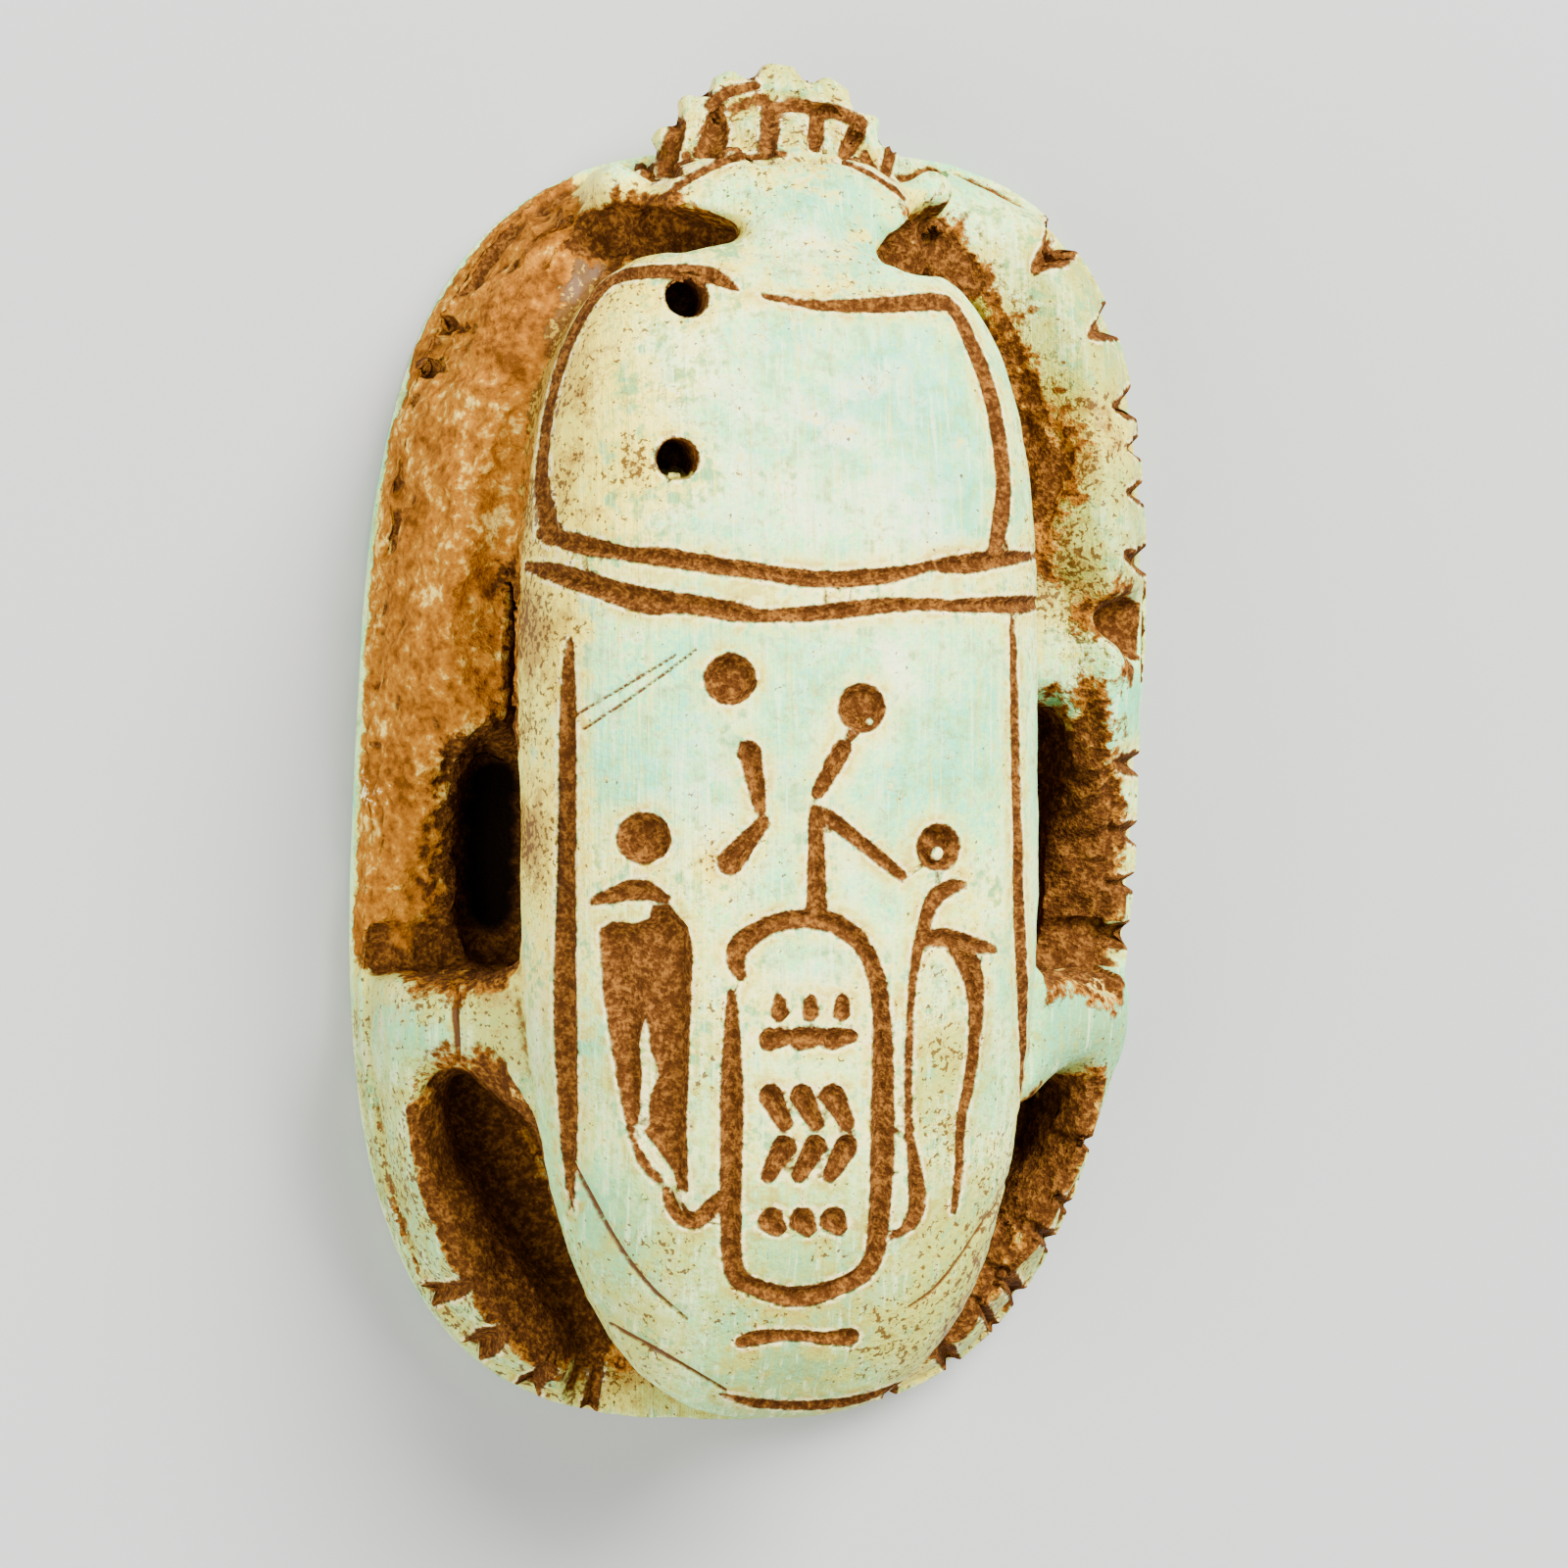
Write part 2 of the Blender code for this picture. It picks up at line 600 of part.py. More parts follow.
def rim_cutters(home):
    """File cuts that run up the sloping outer side of the legs."""
    for side, cuts in ((1, RIM_CUTS_RIGHT), (-1, RIM_CUTS_LEFT)):
        for share, radius in cuts:
            edge, normal = rim_point(side, share, 0.1 * MM)
            middle = edge + Vector((0, 0, BASE_THICKNESS + 1.0 * MM))
            slope = -normal * math.cos(RIM_CUT_SLOPE) + Vector((0, 0, math.sin(RIM_CUT_SLOPE)))
            half = slope * RIM_CUT_LENGTH / 2
            name = f"rim_cut_{side}_{share}"
            rod_cutter(name, middle - half, middle + half, radius * RIM_CUT_GROWTH * MM, 4, home, -normal)


def pocket_cutters(home):
    """The deep hollows that part the body's side from the base between the middle and hind legs."""
    for side in (-1, 1):
        bm = bmesh.new()
        size = Vector(
            (POCKET_OUTER_X - POCKET_INNER_X, POCKET_FRONT_Y - POCKET_BACK_Y, POCKET_ROOF_Z - POCKET_FLOOR_Z)
        )
        middle = Vector(
            (
                side * (POCKET_OUTER_X + POCKET_INNER_X) / 2,
                (POCKET_FRONT_Y + POCKET_BACK_Y) / 2,
                (POCKET_ROOF_Z + POCKET_FLOOR_Z) / 2,
            )
        )
        bmesh.ops.create_cube(bm, size=1.0, matrix=Matrix.LocRotScale(middle, None, size))
        pocket = add_mesh(f"pocket_{side}", bm, home)
        rounding = pocket.modifiers.new("rounding", "BEVEL")
        rounding.width = POCKET_ROUNDING
        rounding.segments = 2


def glaze(obj):
    finish = bpy.data.materials.new("worn_green_glaze")
    finish.use_nodes = True
    shader = finish.node_tree.nodes["Principled BSDF"]
    shader.inputs["Base Color"].default_value = GLAZE_COLOUR
    shader.inputs["Roughness"].default_value = GLAZE_ROUGHNESS
    shader.inputs["Metallic"].default_value = 0.0
    obj.data.materials.append(finish)


def main():
    for obj in list(bpy.data.objects):
        bpy.data.objects.remove(obj)
    shown = new_collection("scarab_amulet")
    masses = new_collection("carved_masses")
    cutters = new_collection("cutters")

    scarab = base_plate(shown)
    scarab.name = "scarab"
    body(masses)
    head(masses)
    shield(masses)
    legs(masses)
    add_boolean(scarab, "UNION", masses)

    surface = Surface(scarab)
    back_cutters(surface, cutters)
    shield_cutters(cutters)
    rim_cutters(cutters)
    pocket_cutters(cutters)
    slot_cutter("slot_left", SLOT_LEFT, SLOT_FLOOR_Z, cutters)
    slot_cutter("slot_right", SLOT_RIGHT, SLOT_FLOOR_Z, cutters)
    slot_cutter("knee_wedge", KNEE_WEDGE, KNEE_FLOOR_Z, cutters)
    rod_cutter(
        "cord_bore",
        (0, -BASE_TAIL_LENGTH - BORE_OVERRUN, BORE_Z),
        (0, SHIELD_Y + SHIELD_RADIUS + BORE_OVERRUN, BORE_Z),
        BORE_RADIUS,
        BORE_SIDES,
        cutters,
    )
    add_boolean(scarab, "DIFFERENCE", cutters)

    for helper in (*masses.objects, *cutters.objects):
        helper.hide_render = True
        helper.display_type = "WIRE"
    glaze(scarab)
    scarab.data.shade_smooth()
    scarab.data.set_sharp_from_angle(angle=math.radians(35))


main()
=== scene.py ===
import math

import bpy
import numpy as np
from mathutils import Matrix, Vector


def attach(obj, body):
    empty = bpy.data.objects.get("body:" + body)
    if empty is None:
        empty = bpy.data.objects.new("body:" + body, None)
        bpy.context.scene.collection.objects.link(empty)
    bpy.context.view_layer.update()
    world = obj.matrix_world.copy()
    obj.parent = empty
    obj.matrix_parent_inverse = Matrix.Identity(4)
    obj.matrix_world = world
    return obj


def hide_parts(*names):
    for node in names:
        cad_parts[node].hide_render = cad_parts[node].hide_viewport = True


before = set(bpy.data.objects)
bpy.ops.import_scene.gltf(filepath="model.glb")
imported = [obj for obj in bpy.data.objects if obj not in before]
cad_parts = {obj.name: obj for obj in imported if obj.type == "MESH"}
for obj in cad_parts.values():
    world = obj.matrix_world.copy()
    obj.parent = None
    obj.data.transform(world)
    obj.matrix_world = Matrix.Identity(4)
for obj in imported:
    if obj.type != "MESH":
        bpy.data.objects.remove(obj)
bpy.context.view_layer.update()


# The stone blank. The whole amulet is carved from one piece of soft steatite, so everything below works
# one skin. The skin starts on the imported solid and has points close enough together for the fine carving.
MM = 0.001
SKIN_GRAIN = 0.09  # from point to point, in millimetres as all of the carving is
EASE_ROUNDS = 5


class Skin:
    """The outer skin of the stone as arrays, in millimetres."""

    def __init__(self, solid):
        mesh = solid.data.copy()
        mesh.materials.clear()
        mesh.transform(Matrix.Scale(1 / MM, 4))
        self.obj = bpy.data.objects.new("carved_scarab", mesh)
        bpy.context.scene.collection.objects.link(self.obj)
        fine = self.obj.modifiers.new("fine_skin", "REMESH")
        fine.mode = "VOXEL"
        fine.voxel_size = SKIN_GRAIN
        fine.use_smooth_shade = True
        self.apply_modifiers()

    def apply_modifiers(self):
        bpy.context.view_layer.update()
        graph = bpy.context.evaluated_depsgraph_get()
        mesh = bpy.data.meshes.new_from_object(self.obj.evaluated_get(graph))
        self.obj.modifiers.clear()
        self.obj.data = mesh
        places = np.empty(len(mesh.vertices) * 3, np.float32)
        mesh.vertices.foreach_get("co", places)
        self.places = places.reshape(-1, 3).astype(float)
        ends = np.empty(len(mesh.edges) * 2, np.int32)
        mesh.edges.foreach_get("vertices", ends)
        self.near, self.far = ends.reshape(-1, 2).T
        self.neighbours = np.bincount(ends, minlength=len(self.places))

    def facing(self):
        """The way out of the stone at each point."""
        self.obj.data.vertices.foreach_set("co", self.places.astype(np.float32).ravel())
        self.obj.data.update()
        ways = np.empty(len(self.places) * 3, np.float32)
        self.obj.data.vertex_normals.foreach_get("vector", ways)
        return ways.reshape(-1, 3).astype(float)

    def eased(self, values, rounds):
        """These values after each point has taken the mean of its neighbours this many times."""
        values = values.reshape(len(self.places), -1)
        for _ in range(rounds):
            sums = [
                np.bincount(self.near, column[self.far], len(column))
                + np.bincount(self.far, column[self.near], len(column))
                for column in values.T
            ]
            values = np.stack(sums, 1) / self.neighbours[:, None]
        return values

    def sink(self, depth):
        """Cuts the skin back by this depth at each point."""
        self.places -= self.facing() * depth[:, None]

    def record(self, name, values):
        """Keeps one number for each point, which the finish reads by this name."""
        kept = self.obj.data.attributes.new(name, "FLOAT", "POINT")
        kept.data.foreach_set("value", values.astype(np.float32))


skin = Skin(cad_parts["scarab"])
skin.places = skin.eased(skin.places, EASE_ROUNDS)


# The domed body, with the pronotum in front and the wing cases behind. It was ground to one even curve
# before any line was cut, so the skin of the back is laid on that curve first.
BODY_MIDDLE = np.array((-0.35, -1.0, 9.0))
BODY_HALF_WIDTH = 7.4
BODY_LENGTHS = (14.9, 18.1)  # ahead of its middle and behind it
BODY_FULLNESS = (3.5, 2.7)
BODY_RISE = 6.0
BODY_CROWN = 2.3
SHOULDER_Z = 9.3
DEEPEST_LINE = 1.3
HIGHEST_LUMP = 0.15
SLOT_LEFT = ((-6.6, 14.7), (-3.0, 14.7), (-0.9, 14.1), (-3.0, 13.5), (-6.6, 13.3))
SLOT_RIGHT = ((2.3, 13.3), (4.3, 15.1), (6.4, 14.6), (6.0, 12.9), (3.0, 12.9))
SLOT_MARGIN = 0.25
DRILL_HOLES = ((-3.3, 12.0), (-3.8, 7.5))
DRILL_RADIUS = 0.47
DRILL_MARGIN = 0.56


def body_plan(x, y):
    """1 on the body's outline as seen from above, less inside it."""
    ahead = y > BODY_MIDDLE[1]
    fullness = np.where(ahead, *BODY_FULLNESS)
    length = np.where(ahead, *BODY_LENGTHS)
    across = np.abs(x - BODY_MIDDLE[0]) / BODY_HALF_WIDTH
    along = np.abs(y - BODY_MIDDLE[1]) / length
    return (across**fullness + along**fullness) ** (1 / fullness)


def body_level(places):
    """1 on the body's upper surface, less inside the stone."""
    rise = np.maximum(places[:, 2] - BODY_MIDDLE[2], 0) / BODY_RISE
    return (body_plan(places[:, 0], places[:, 1]) ** BODY_CROWN + rise**BODY_CROWN) ** (1 / BODY_CROWN)


def body_height(x, y):
    plan = np.minimum(body_plan(x, y), 1)
    return BODY_MIDDLE[2] + BODY_RISE * (1 - plan**BODY_CROWN) ** (1 / BODY_CROWN)


def outline_gap(places, outline, reach=1.6):
    """How far each point lies outside this outline, seen from above. Inside it is less than 0."""
    corners = np.array(outline, float)
    gap = np.full(len(places), reach)
    low, high = corners.min(0) - reach, corners.max(0) + reach
    found = np.flatnonzero(np.all((places[:, :2] > low) & (places[:, :2] < high), 1))
    here = places[found, :2]
    nearest = np.full(len(found), reach)
    inside = np.zeros(len(found), bool)
    for start, end in zip(corners, np.roll(corners, -1, 0)):
        side = end - start
        share = np.clip((here - start) @ side / (side @ side), 0, 1)
        nearest = np.minimum(nearest, np.linalg.norm(here - start - share[:, None] * side, axis=1))
        spans = (start[1] > here[:, 1]) != (end[1] > here[:, 1])
        crossing = start[0] + (here[:, 1] - start[1]) * side[0] / (side[1] or 1)
        inside ^= spans & (here[:, 0] < crossing)
    gap[found] = np.where(inside, -nearest, nearest)
    return gap


def step(values, start, end):
    """0 up to start and 1 from end, with a soft rise between them."""
    share = np.clip((values - start) / (end - start), 0, 1)
    return share * share * (3 - 2 * share)


def disc_gap(places, x, y, radius):
    return np.hypot(places[:, 0] - x, places[:, 1] - y) - radius


level = body_level(skin.places)
out_of_body = np.linalg.norm(skin.places - BODY_MIDDLE, axis=1) * (1 - 1 / level)
on_back = (skin.places[:, 2] > SHOULDER_Z) & (out_of_body < HIGHEST_LUMP) & (out_of_body > -DEEPEST_LINE)
for slot in (SLOT_LEFT, SLOT_RIGHT):
    on_back &= outline_gap(skin.places, slot) > SLOT_MARGIN
for x, y in DRILL_HOLES:
    on_back &= disc_gap(skin.places, x, y, DRILL_MARGIN) > 0
LAY_ROUNDS = 9  # each round smooths out what is left of the solid's own grooves
for _ in range(LAY_ROUNDS):
    laid = BODY_MIDDLE + (skin.places - BODY_MIDDLE) / body_level(skin.places)[:, None]
    skin.places[on_back] = laid[on_back]
    smooth = skin.eased(skin.places, EASE_ROUNDS)
    skin.places[on_back] = smooth[on_back]


# What fills the gaps. The narrow gaps between the body and the legs are packed with earth nearly to the
# top, and a pale grain of stone sits in the second drill hole.
BASE_TOP = 2.2  # just under the top of the base plate
HOLE_FLOOR = 10.0
FILL_EDGE = (-0.4, 0.2)
PACKED_GAPS = {  # outline seen from above, where the filling starts and how high it stands
    "behind_eye_right": (
        ((3.3, 14.6), (4.6, 15.8), (6.3, 15.2), (7.1, 13.8), (6.9, 12.6), (5.9, 11.8), (4.2, 12.2)),
        BASE_TOP,
        5.4,
    ),
    "beside_flank_left": (((-9.4, 6.6), (-6.6, 6.6), (-6.6, -0.5), (-9.4, -0.5)), BASE_TOP, 6.0),
    "beside_knee_right": (
        ((6.4, 6.2), (8.6, 6.2), (8.9, 4.4), (9.0, 3.2), (8.9, 0.9), (8.3, 0.5), (6.4, 0.5)),
        BASE_TOP,
        5.7,
    ),
    "drill_hole_back": (((-4.3, 7.4), (-3.3, 7.4), (-3.2, 6.8), (-4.3, 6.8)), HOLE_FLOOR, 13.3),
}
for outline, foot, height in PACKED_GAPS.values():
    inside = 1 - step(outline_gap(skin.places, outline), *FILL_EDGE)
    lift = np.maximum(height - skin.places[:, 2], 0) * inside
    skin.places[:, 2] += lift * step(skin.places[:, 2], foot, foot + 0.15)


# The head, the legs and the rim. They were shaped with a file and then rubbed round by wear, so their
# planes run into each other. Only the shield in front keeps crisp ribs.
WORN_ROUNDS = 70
EYE_X = 4.6
EYE_Y = 15.4
EYE_WEAR = 0.8
worn = skin.eased(skin.places, WORN_ROUNDS)
x, y, z = skin.places.T
# Each kind of wear fades out between two heights or two places along the amulet.
leg_wear = step(z, 2.5, 3.1) * (1 - step(z, 8.2, 8.9)) * (1 - step(y, 12.5, 14.0))
neck_wear = step(z, 7.6, 8.2) * step(y, 12.9, 13.4) * (1 - step(np.abs(x), 2.8, 3.4))
from_eye = np.hypot(np.abs(x) - EYE_X, y - EYE_Y)
eye_wear = EYE_WEAR * (1 - step(from_eye, 0.9, 1.5)) * step(z, 4.0, 5.0)
wear = np.maximum(np.maximum(leg_wear, neck_wear), eye_wear)
skin.places += (worn - skin.places) * wear[:, None]


# The marks of the tool and of wear: no surface of the stone is true. A table of seeded random numbers,
# read smoothly at any place, gives all the unevenness that is cut into the skin.
NOISE_CELLS = 32
NOISE_TURN = np.array(Matrix.Rotation(0.7, 3, (1, 2, 3)))  # no edge of the stone follows its grid
UNEVEN = ((4.0, 0.1, 1), (1.5, 0.06, 2), (0.6, 0.05, 3), (0.3, 0.03, 4))  # spacing, height and seed


def lattice_noise(places, spacing, seed):
    """Smooth random numbers from -1 to 1 that change over this spacing."""
    table = np.random.default_rng(seed).uniform(-1, 1, NOISE_CELLS**3)
    cells = places @ NOISE_TURN / spacing
    corner = np.floor(cells)
    share = cells - corner
    share = share * share * (3 - 2 * share)
    corner = corner.astype(int)
    ends = [(corner + end) % NOISE_CELLS for end in (0, 1)]
    total = np.zeros(len(places))
    for i in (0, 1):
        weight_x = share[:, 0] if i else 1 - share[:, 0]
        for j in (0, 1):
            weight_y = weight_x * (share[:, 1] if j else 1 - share[:, 1])
            for k in (0, 1):
                weight = weight_y * (share[:, 2] if k else 1 - share[:, 2])
                cell = (ends[i][:, 0] * NOISE_CELLS + ends[j][:, 1]) * NOISE_CELLS + ends[k][:, 2]
                total += weight * table[cell]
    return total


hollow = np.zeros(len(skin.places))
for spacing, height, seed in UNEVEN:
    hollow += height * (lattice_noise(skin.places, spacing, seed) + 1) / 2
skin.sink(hollow * step(skin.places[:, 2], 0.3, 1.5))


# The lines of the back: the edge of the pronotum, the two lines of the waist and the edges of the wing
# cases. Each was scratched with a burin in one pull, so it swells in its middle and thins at its ends.
BACK_LINES = {
    "pronotum_edge_left": (
        (-1.95, 12.25, 0.03), (-2.6, 12.65, 0.2), (-3.9, 12.8, 0.17), (-5.2, 12.65, 0.19),
        (-6.1, 11.6, 0.22), (-6.7, 10.2, 0.18), (-7.1, 8.6, 0.18), (-7.25, 7.0, 0.2),
        (-7.05, 5.5, 0.22),
    ),
    "pronotum_edge_right": (
        (-1.2, 12.05, 0.02), (-0.4, 11.9, 0.04), (0.4, 11.8, 0.1), (2.1, 11.85, 0.16),
        (3.7, 12.0, 0.2), (4.2, 11.85, 0.18), (4.65, 10.8, 0.19), (5.2, 9.0, 0.21), (5.4, 7.0, 0.22),
        (5.2, 5.7, 0.21), (4.95, 5.0, 0.1),
    ),
    "waist_front_left": (
        (-7.3, 5.6, 0.1), (-6.4, 5.25, 0.2), (-5.2, 4.95, 0.12), (-4.2, 4.85, 0.19), (-3.1, 4.65, 0.17),
        (-1.6, 4.45, 0.15), (0.0, 4.25, 0.16), (1.7, 4.35, 0.15), (2.5, 4.5, 0.1), (3.0, 4.65, 0.06),
    ),
    "waist_front_right": (
        (3.0, 4.65, 0.06), (4.0, 4.7, 0.2), (5.0, 4.85, 0.18), (6.2, 5.0, 0.08), (7.2, 5.15, 0.03),
    ),
    "waist_back_left": (
        (-7.6, 4.7, 0.05), (-6.9, 4.45, 0.2), (-5.6, 3.95, 0.24), (-4.6, 3.65, 0.28), (-3.7, 3.6, 0.19),
        (-2.6, 3.4, 0.2), (-1.6, 3.25, 0.1),
    ),
    "waist_back_middle": ((-1.5, 3.25, 0.1), (0.0, 3.35, 0.15), (1.7, 3.55, 0.13), (3.4, 3.6, 0.09)),
    "waist_back_right": ((3.4, 3.55, 0.09), (4.5, 3.6, 0.14), (5.9, 3.65, 0.17), (7.2, 3.8, 0.1)),
    "wing_edge_left": (
        (-6.6, 2.6, 0.03), (-6.65, 0.8, 0.15), (-6.7, -4.0, 0.19), (-6.7, -7.2, 0.24),
        (-6.6, -10.1, 0.22), (-6.5, -12.0, 0.12), (-6.4, -13.0, 0.04),
    ),
    "wing_edge_right": (
        (5.6, 3.2, 0.03), (5.65, 1.9, 0.08), (5.8, -2.6, 0.13), (5.95, -5.6, 0.19), (6.25, -8.4, 0.2),
        (6.4, -10.4, 0.13), (6.4, -11.7, 0.04),
    ),
    "tail_groove": (
        (-2.2, -18.15, 0.02), (-1.3, -18.4, 0.1), (0.0, -18.55, 0.13), (1.5, -18.45, 0.12),
        (2.8, -18.15, 0.1), (3.4, -17.9, 0.02),
    ),
    "tail_bar": (
        (-1.85, -16.55, 0.12), (-1.4, -16.4, 0.15), (-0.4, -16.35, 0.09), (0.4, -16.45, 0.12),
        (1.15, -16.45, 0.2),
    ),
}
PATH_STEP = 0.25
THINNEST_LINE = 0.02
LINE_SLOPE = 1.3
LINE_DEPTH = 0.3
BURR = 0.06  # how far each side of a line broke away beyond the tool
HALO_REACH = 1.6
HEIGHT_SHARE = 0.4  # how much of a rise counts toward a line's distance, so that no bump hides the line
BACK_FROM_Z = 7.5
BACK_LEVELS = (0.93, 1.04)


def smooth_path(points):
    """Rows of x, y and half width at an even spacing along a smooth curve through the given rows."""
    rows = np.array(points, float)
    padded = np.vstack((2 * rows[0] - rows[1], rows, 2 * rows[-1] - rows[-2]))
    path = []
    for before, start, end, after in zip(padded, padded[1:], padded[2:], padded[3:]):
        pieces = max(1, round(np.linalg.norm(end[:2] - start[:2]) / PATH_STEP))
        for t in np.arange(pieces) / pieces:
            bend = 2 * before - 5 * start + 4 * end - after
            twist = 3 * start - before - 3 * end + after
            path.append((2 * start + (end - before) * t + bend * t**2 + twist * t**3) / 2)
    return np.vstack((path, rows[-1]))


def line_gap(places, points, heights=body_height):
    """How far each point lies outside a cut line. Inside the line it is less than 0.

    heights gives the line's height along its way. Without it the line is measured as seen from above.
    """
    path = smooth_path(points)
    spots, widths = path[:, :2], np.maximum(path[:, 2], THINNEST_LINE) + BURR
    if heights:
        spots = np.column_stack((spots, heights(path[:, 0], path[:, 1]) * HEIGHT_SHARE))
    places = places[:, : spots.shape[1]] * (1, 1, HEIGHT_SHARE)[: spots.shape[1]]
    gap = np.full(len(places), HALO_REACH)
    low, high = spots.min(0) - HALO_REACH, spots.max(0) + HALO_REACH
    found = np.flatnonzero(np.all((places > low) & (places < high), 1))
    for start, end, width, next_width in zip(spots, spots[1:], widths, widths[1:]):
        near = found[np.all(np.abs(places[found] - (start + end) / 2) < HALO_REACH, 1)]
        side = end - start
        share = np.clip((places[near] - start) @ side / (side @ side), 0, 1)
        away = np.linalg.norm(places[near] - start - share[:, None] * side, axis=1)
        gap[near] = np.minimum(gap[near], away - width - share * (next_width - width))
    return gap


level = body_level(skin.places)
upper = skin.places[:, 2] > BACK_FROM_Z
back = np.flatnonzero(upper & (level > BACK_LEVELS[0]) & (level < BACK_LEVELS[1]))
uncut = skin.places.copy()
cut = np.full(len(skin.places), HALO_REACH)
for points in BACK_LINES.values():
    cut[back] = np.minimum(cut[back], line_gap(uncut[back], points))


# The figures on the wing cases: two rearing cobras, four sun discs and an oval frame. What was written in
# the frame and above it is left as rows of plain shallow strokes.
FIGURES = {
    "cobra_left_brow": (
        (-6.05, -4.45, 0.04), (-5.35, -4.2, 0.18), (-4.9, -4.1, 0.21), (-4.5, -4.2, 0.15),
        (-4.15, -4.35, 0.04),
    ),
    "cobra_left_tail": (
        (-3.95, -11.8, 0.13), (-3.95, -12.35, 0.15), (-3.75, -12.85, 0.17), (-3.4, -13.1, 0.16),
        (-3.05, -12.95, 0.16), (-2.75, -12.6, 0.15), (-2.4, -12.4, 0.12),
    ),
    "cobra_right_front": (
        (4.0, -4.0, 0.04), (3.65, -4.05, 0.14), (3.2, -4.3, 0.17), (2.95, -4.7, 0.13),
        (2.8, -5.3, 0.12), (2.6, -6.0, 0.08), (2.5, -7.0, 0.045), (2.45, -9.0, 0.04),
        (2.5, -10.6, 0.05), (2.65, -11.4, 0.09), (2.8, -12.3, 0.17), (2.8, -13.0, 0.16),
        (2.45, -13.45, 0.07), (2.15, -13.6, 0.04),
    ),
    "cobra_right_head": ((2.9, -5.45, 0.12), (3.5, -5.45, 0.19), (4.1, -5.6, 0.17), (5.0, -5.8, 0.04)),
    "cobra_right_back": (
        (3.85, -5.7, 0.24), (4.2, -6.2, 0.27), (4.4, -7.0, 0.2), (4.4, -8.2, 0.12), (4.25, -9.5, 0.11),
        (4.05, -10.5, 0.07), (4.05, -12.0, 0.07), (3.95, -12.95, 0.04),
    ),
    "oval_frame": (
        (-2.2, -6.4, 0.08), (-2.35, -6.0, 0.18), (-2.15, -5.5, 0.23), (-1.3, -5.0, 0.17),
        (-0.1, -4.9, 0.2), (0.7, -5.25, 0.2), (1.3, -5.95, 0.17), (1.65, -7.4, 0.18),
        (1.75, -10.5, 0.26), (1.75, -13.2, 0.22), (1.55, -14.4, 0.2), (0.8, -14.95, 0.19),
        (-0.4, -15.25, 0.22), (-1.6, -14.95, 0.17), (-2.2, -14.4, 0.19), (-2.35, -12.4, 0.21),
        (-2.4, -9.6, 0.23), (-2.45, -6.9, 0.06),
    ),
    "upper_stroke_1": ((-2.0, -0.4, 0.24), (-1.7, -1.9, 0.1)),
    "upper_stroke_2": ((-1.65, -2.3, 0.12), (-2.5, -3.35, 0.28)),
    "upper_stroke_3": ((0.5, -0.35, 0.2), (-0.15, -1.5, 0.12)),
    "upper_stroke_4": ((-0.2, -2.0, 0.12), (-0.17, -4.85, 0.22)),
    "upper_stroke_5": ((0.15, -2.15, 0.14), (2.2, -3.75, 0.08)),
}
STROKE_COLUMNS = (-1.15, -0.3, 0.55)
STROKE_ROWS = (  # place of the row along the amulet, lean and rise of each stroke, and half width
    (-7.25, 0.0, 0.35, 0.17),
    (-8.1, 0.5, 0.06, 0.24),
    (-10.05, 0.4, -0.75, 0.26),
    (-11.45, -0.4, -0.75, 0.26),
    (-13.2, 0.15, -0.2, 0.3),
)
COBRA_HOOD = (
    (-5.85, -5.2), (-5.5, -5.0), (-5.0, -5.05), (-4.6, -4.9), (-4.5, -4.55), (-4.1, -4.5),
    (-3.6, -5.1), (-3.5, -5.8), (-3.55, -8.0), (-3.6, -10.5), (-3.5, -12.3), (-3.9, -12.1),
    (-4.4, -12.0), (-4.8, -11.5), (-5.1, -10.5), (-5.4, -9.0), (-5.7, -7.2),
)
HOOD_DEPTH = 0.4
HOOD_SLOPE = 1.6
HOOD_RIDGES = (
    ((-4.9, -10.6, 0.06), (-4.5, -11.3, 0.16), (-4.05, -11.9, 0.14), (-3.7, -12.8, 0.05)),
    ((-4.7, -7.6, 0.02), (-4.75, -8.4, 0.12), (-4.6, -9.1, 0.18), (-4.7, -9.7, 0.1), (-4.75, -10.5, 0.1)),
)
SUN_DISCS = ((-2.51, 1.56, 0.68), (1.06, 0.79, 0.65), (-4.74, -2.72, 0.68), (3.24, -2.98, 0.63))
DISC_DEPTH = 0.42
DISC_SLOPE = 2.2
RAGGED_EDGE = 0.05
PALE_FLECKS = ((1.3, 0.42, 0.13), (3.25, -3.15, 0.2))  # grains of pale stone left in two discs

here = uncut[back]
figures = np.full(len(back), HALO_REACH)
for points in FIGURES.values():
    figures = np.minimum(figures, line_gap(here, points))
for y, lean, climb, half_width in STROKE_ROWS:
    for x in STROKE_COLUMNS:
        ends = (
            (x - lean / 2, y - climb / 2, half_width), (x + lean / 2, y + climb / 2, half_width * 0.6),
        )
        figures = np.minimum(figures, line_gap(here, ends))
hood = outline_gap(here, COBRA_HOOD)
ridges = np.minimum(*(line_gap(here, ridge) for ridge in HOOD_RIDGES))
discs = np.min([disc_gap(here, *disc) for disc in SUN_DISCS], 0)
flecks = np.min([disc_gap(here, *fleck) for fleck in PALE_FLECKS], 0)
cut[back] = np.minimum(cut[back], figures)

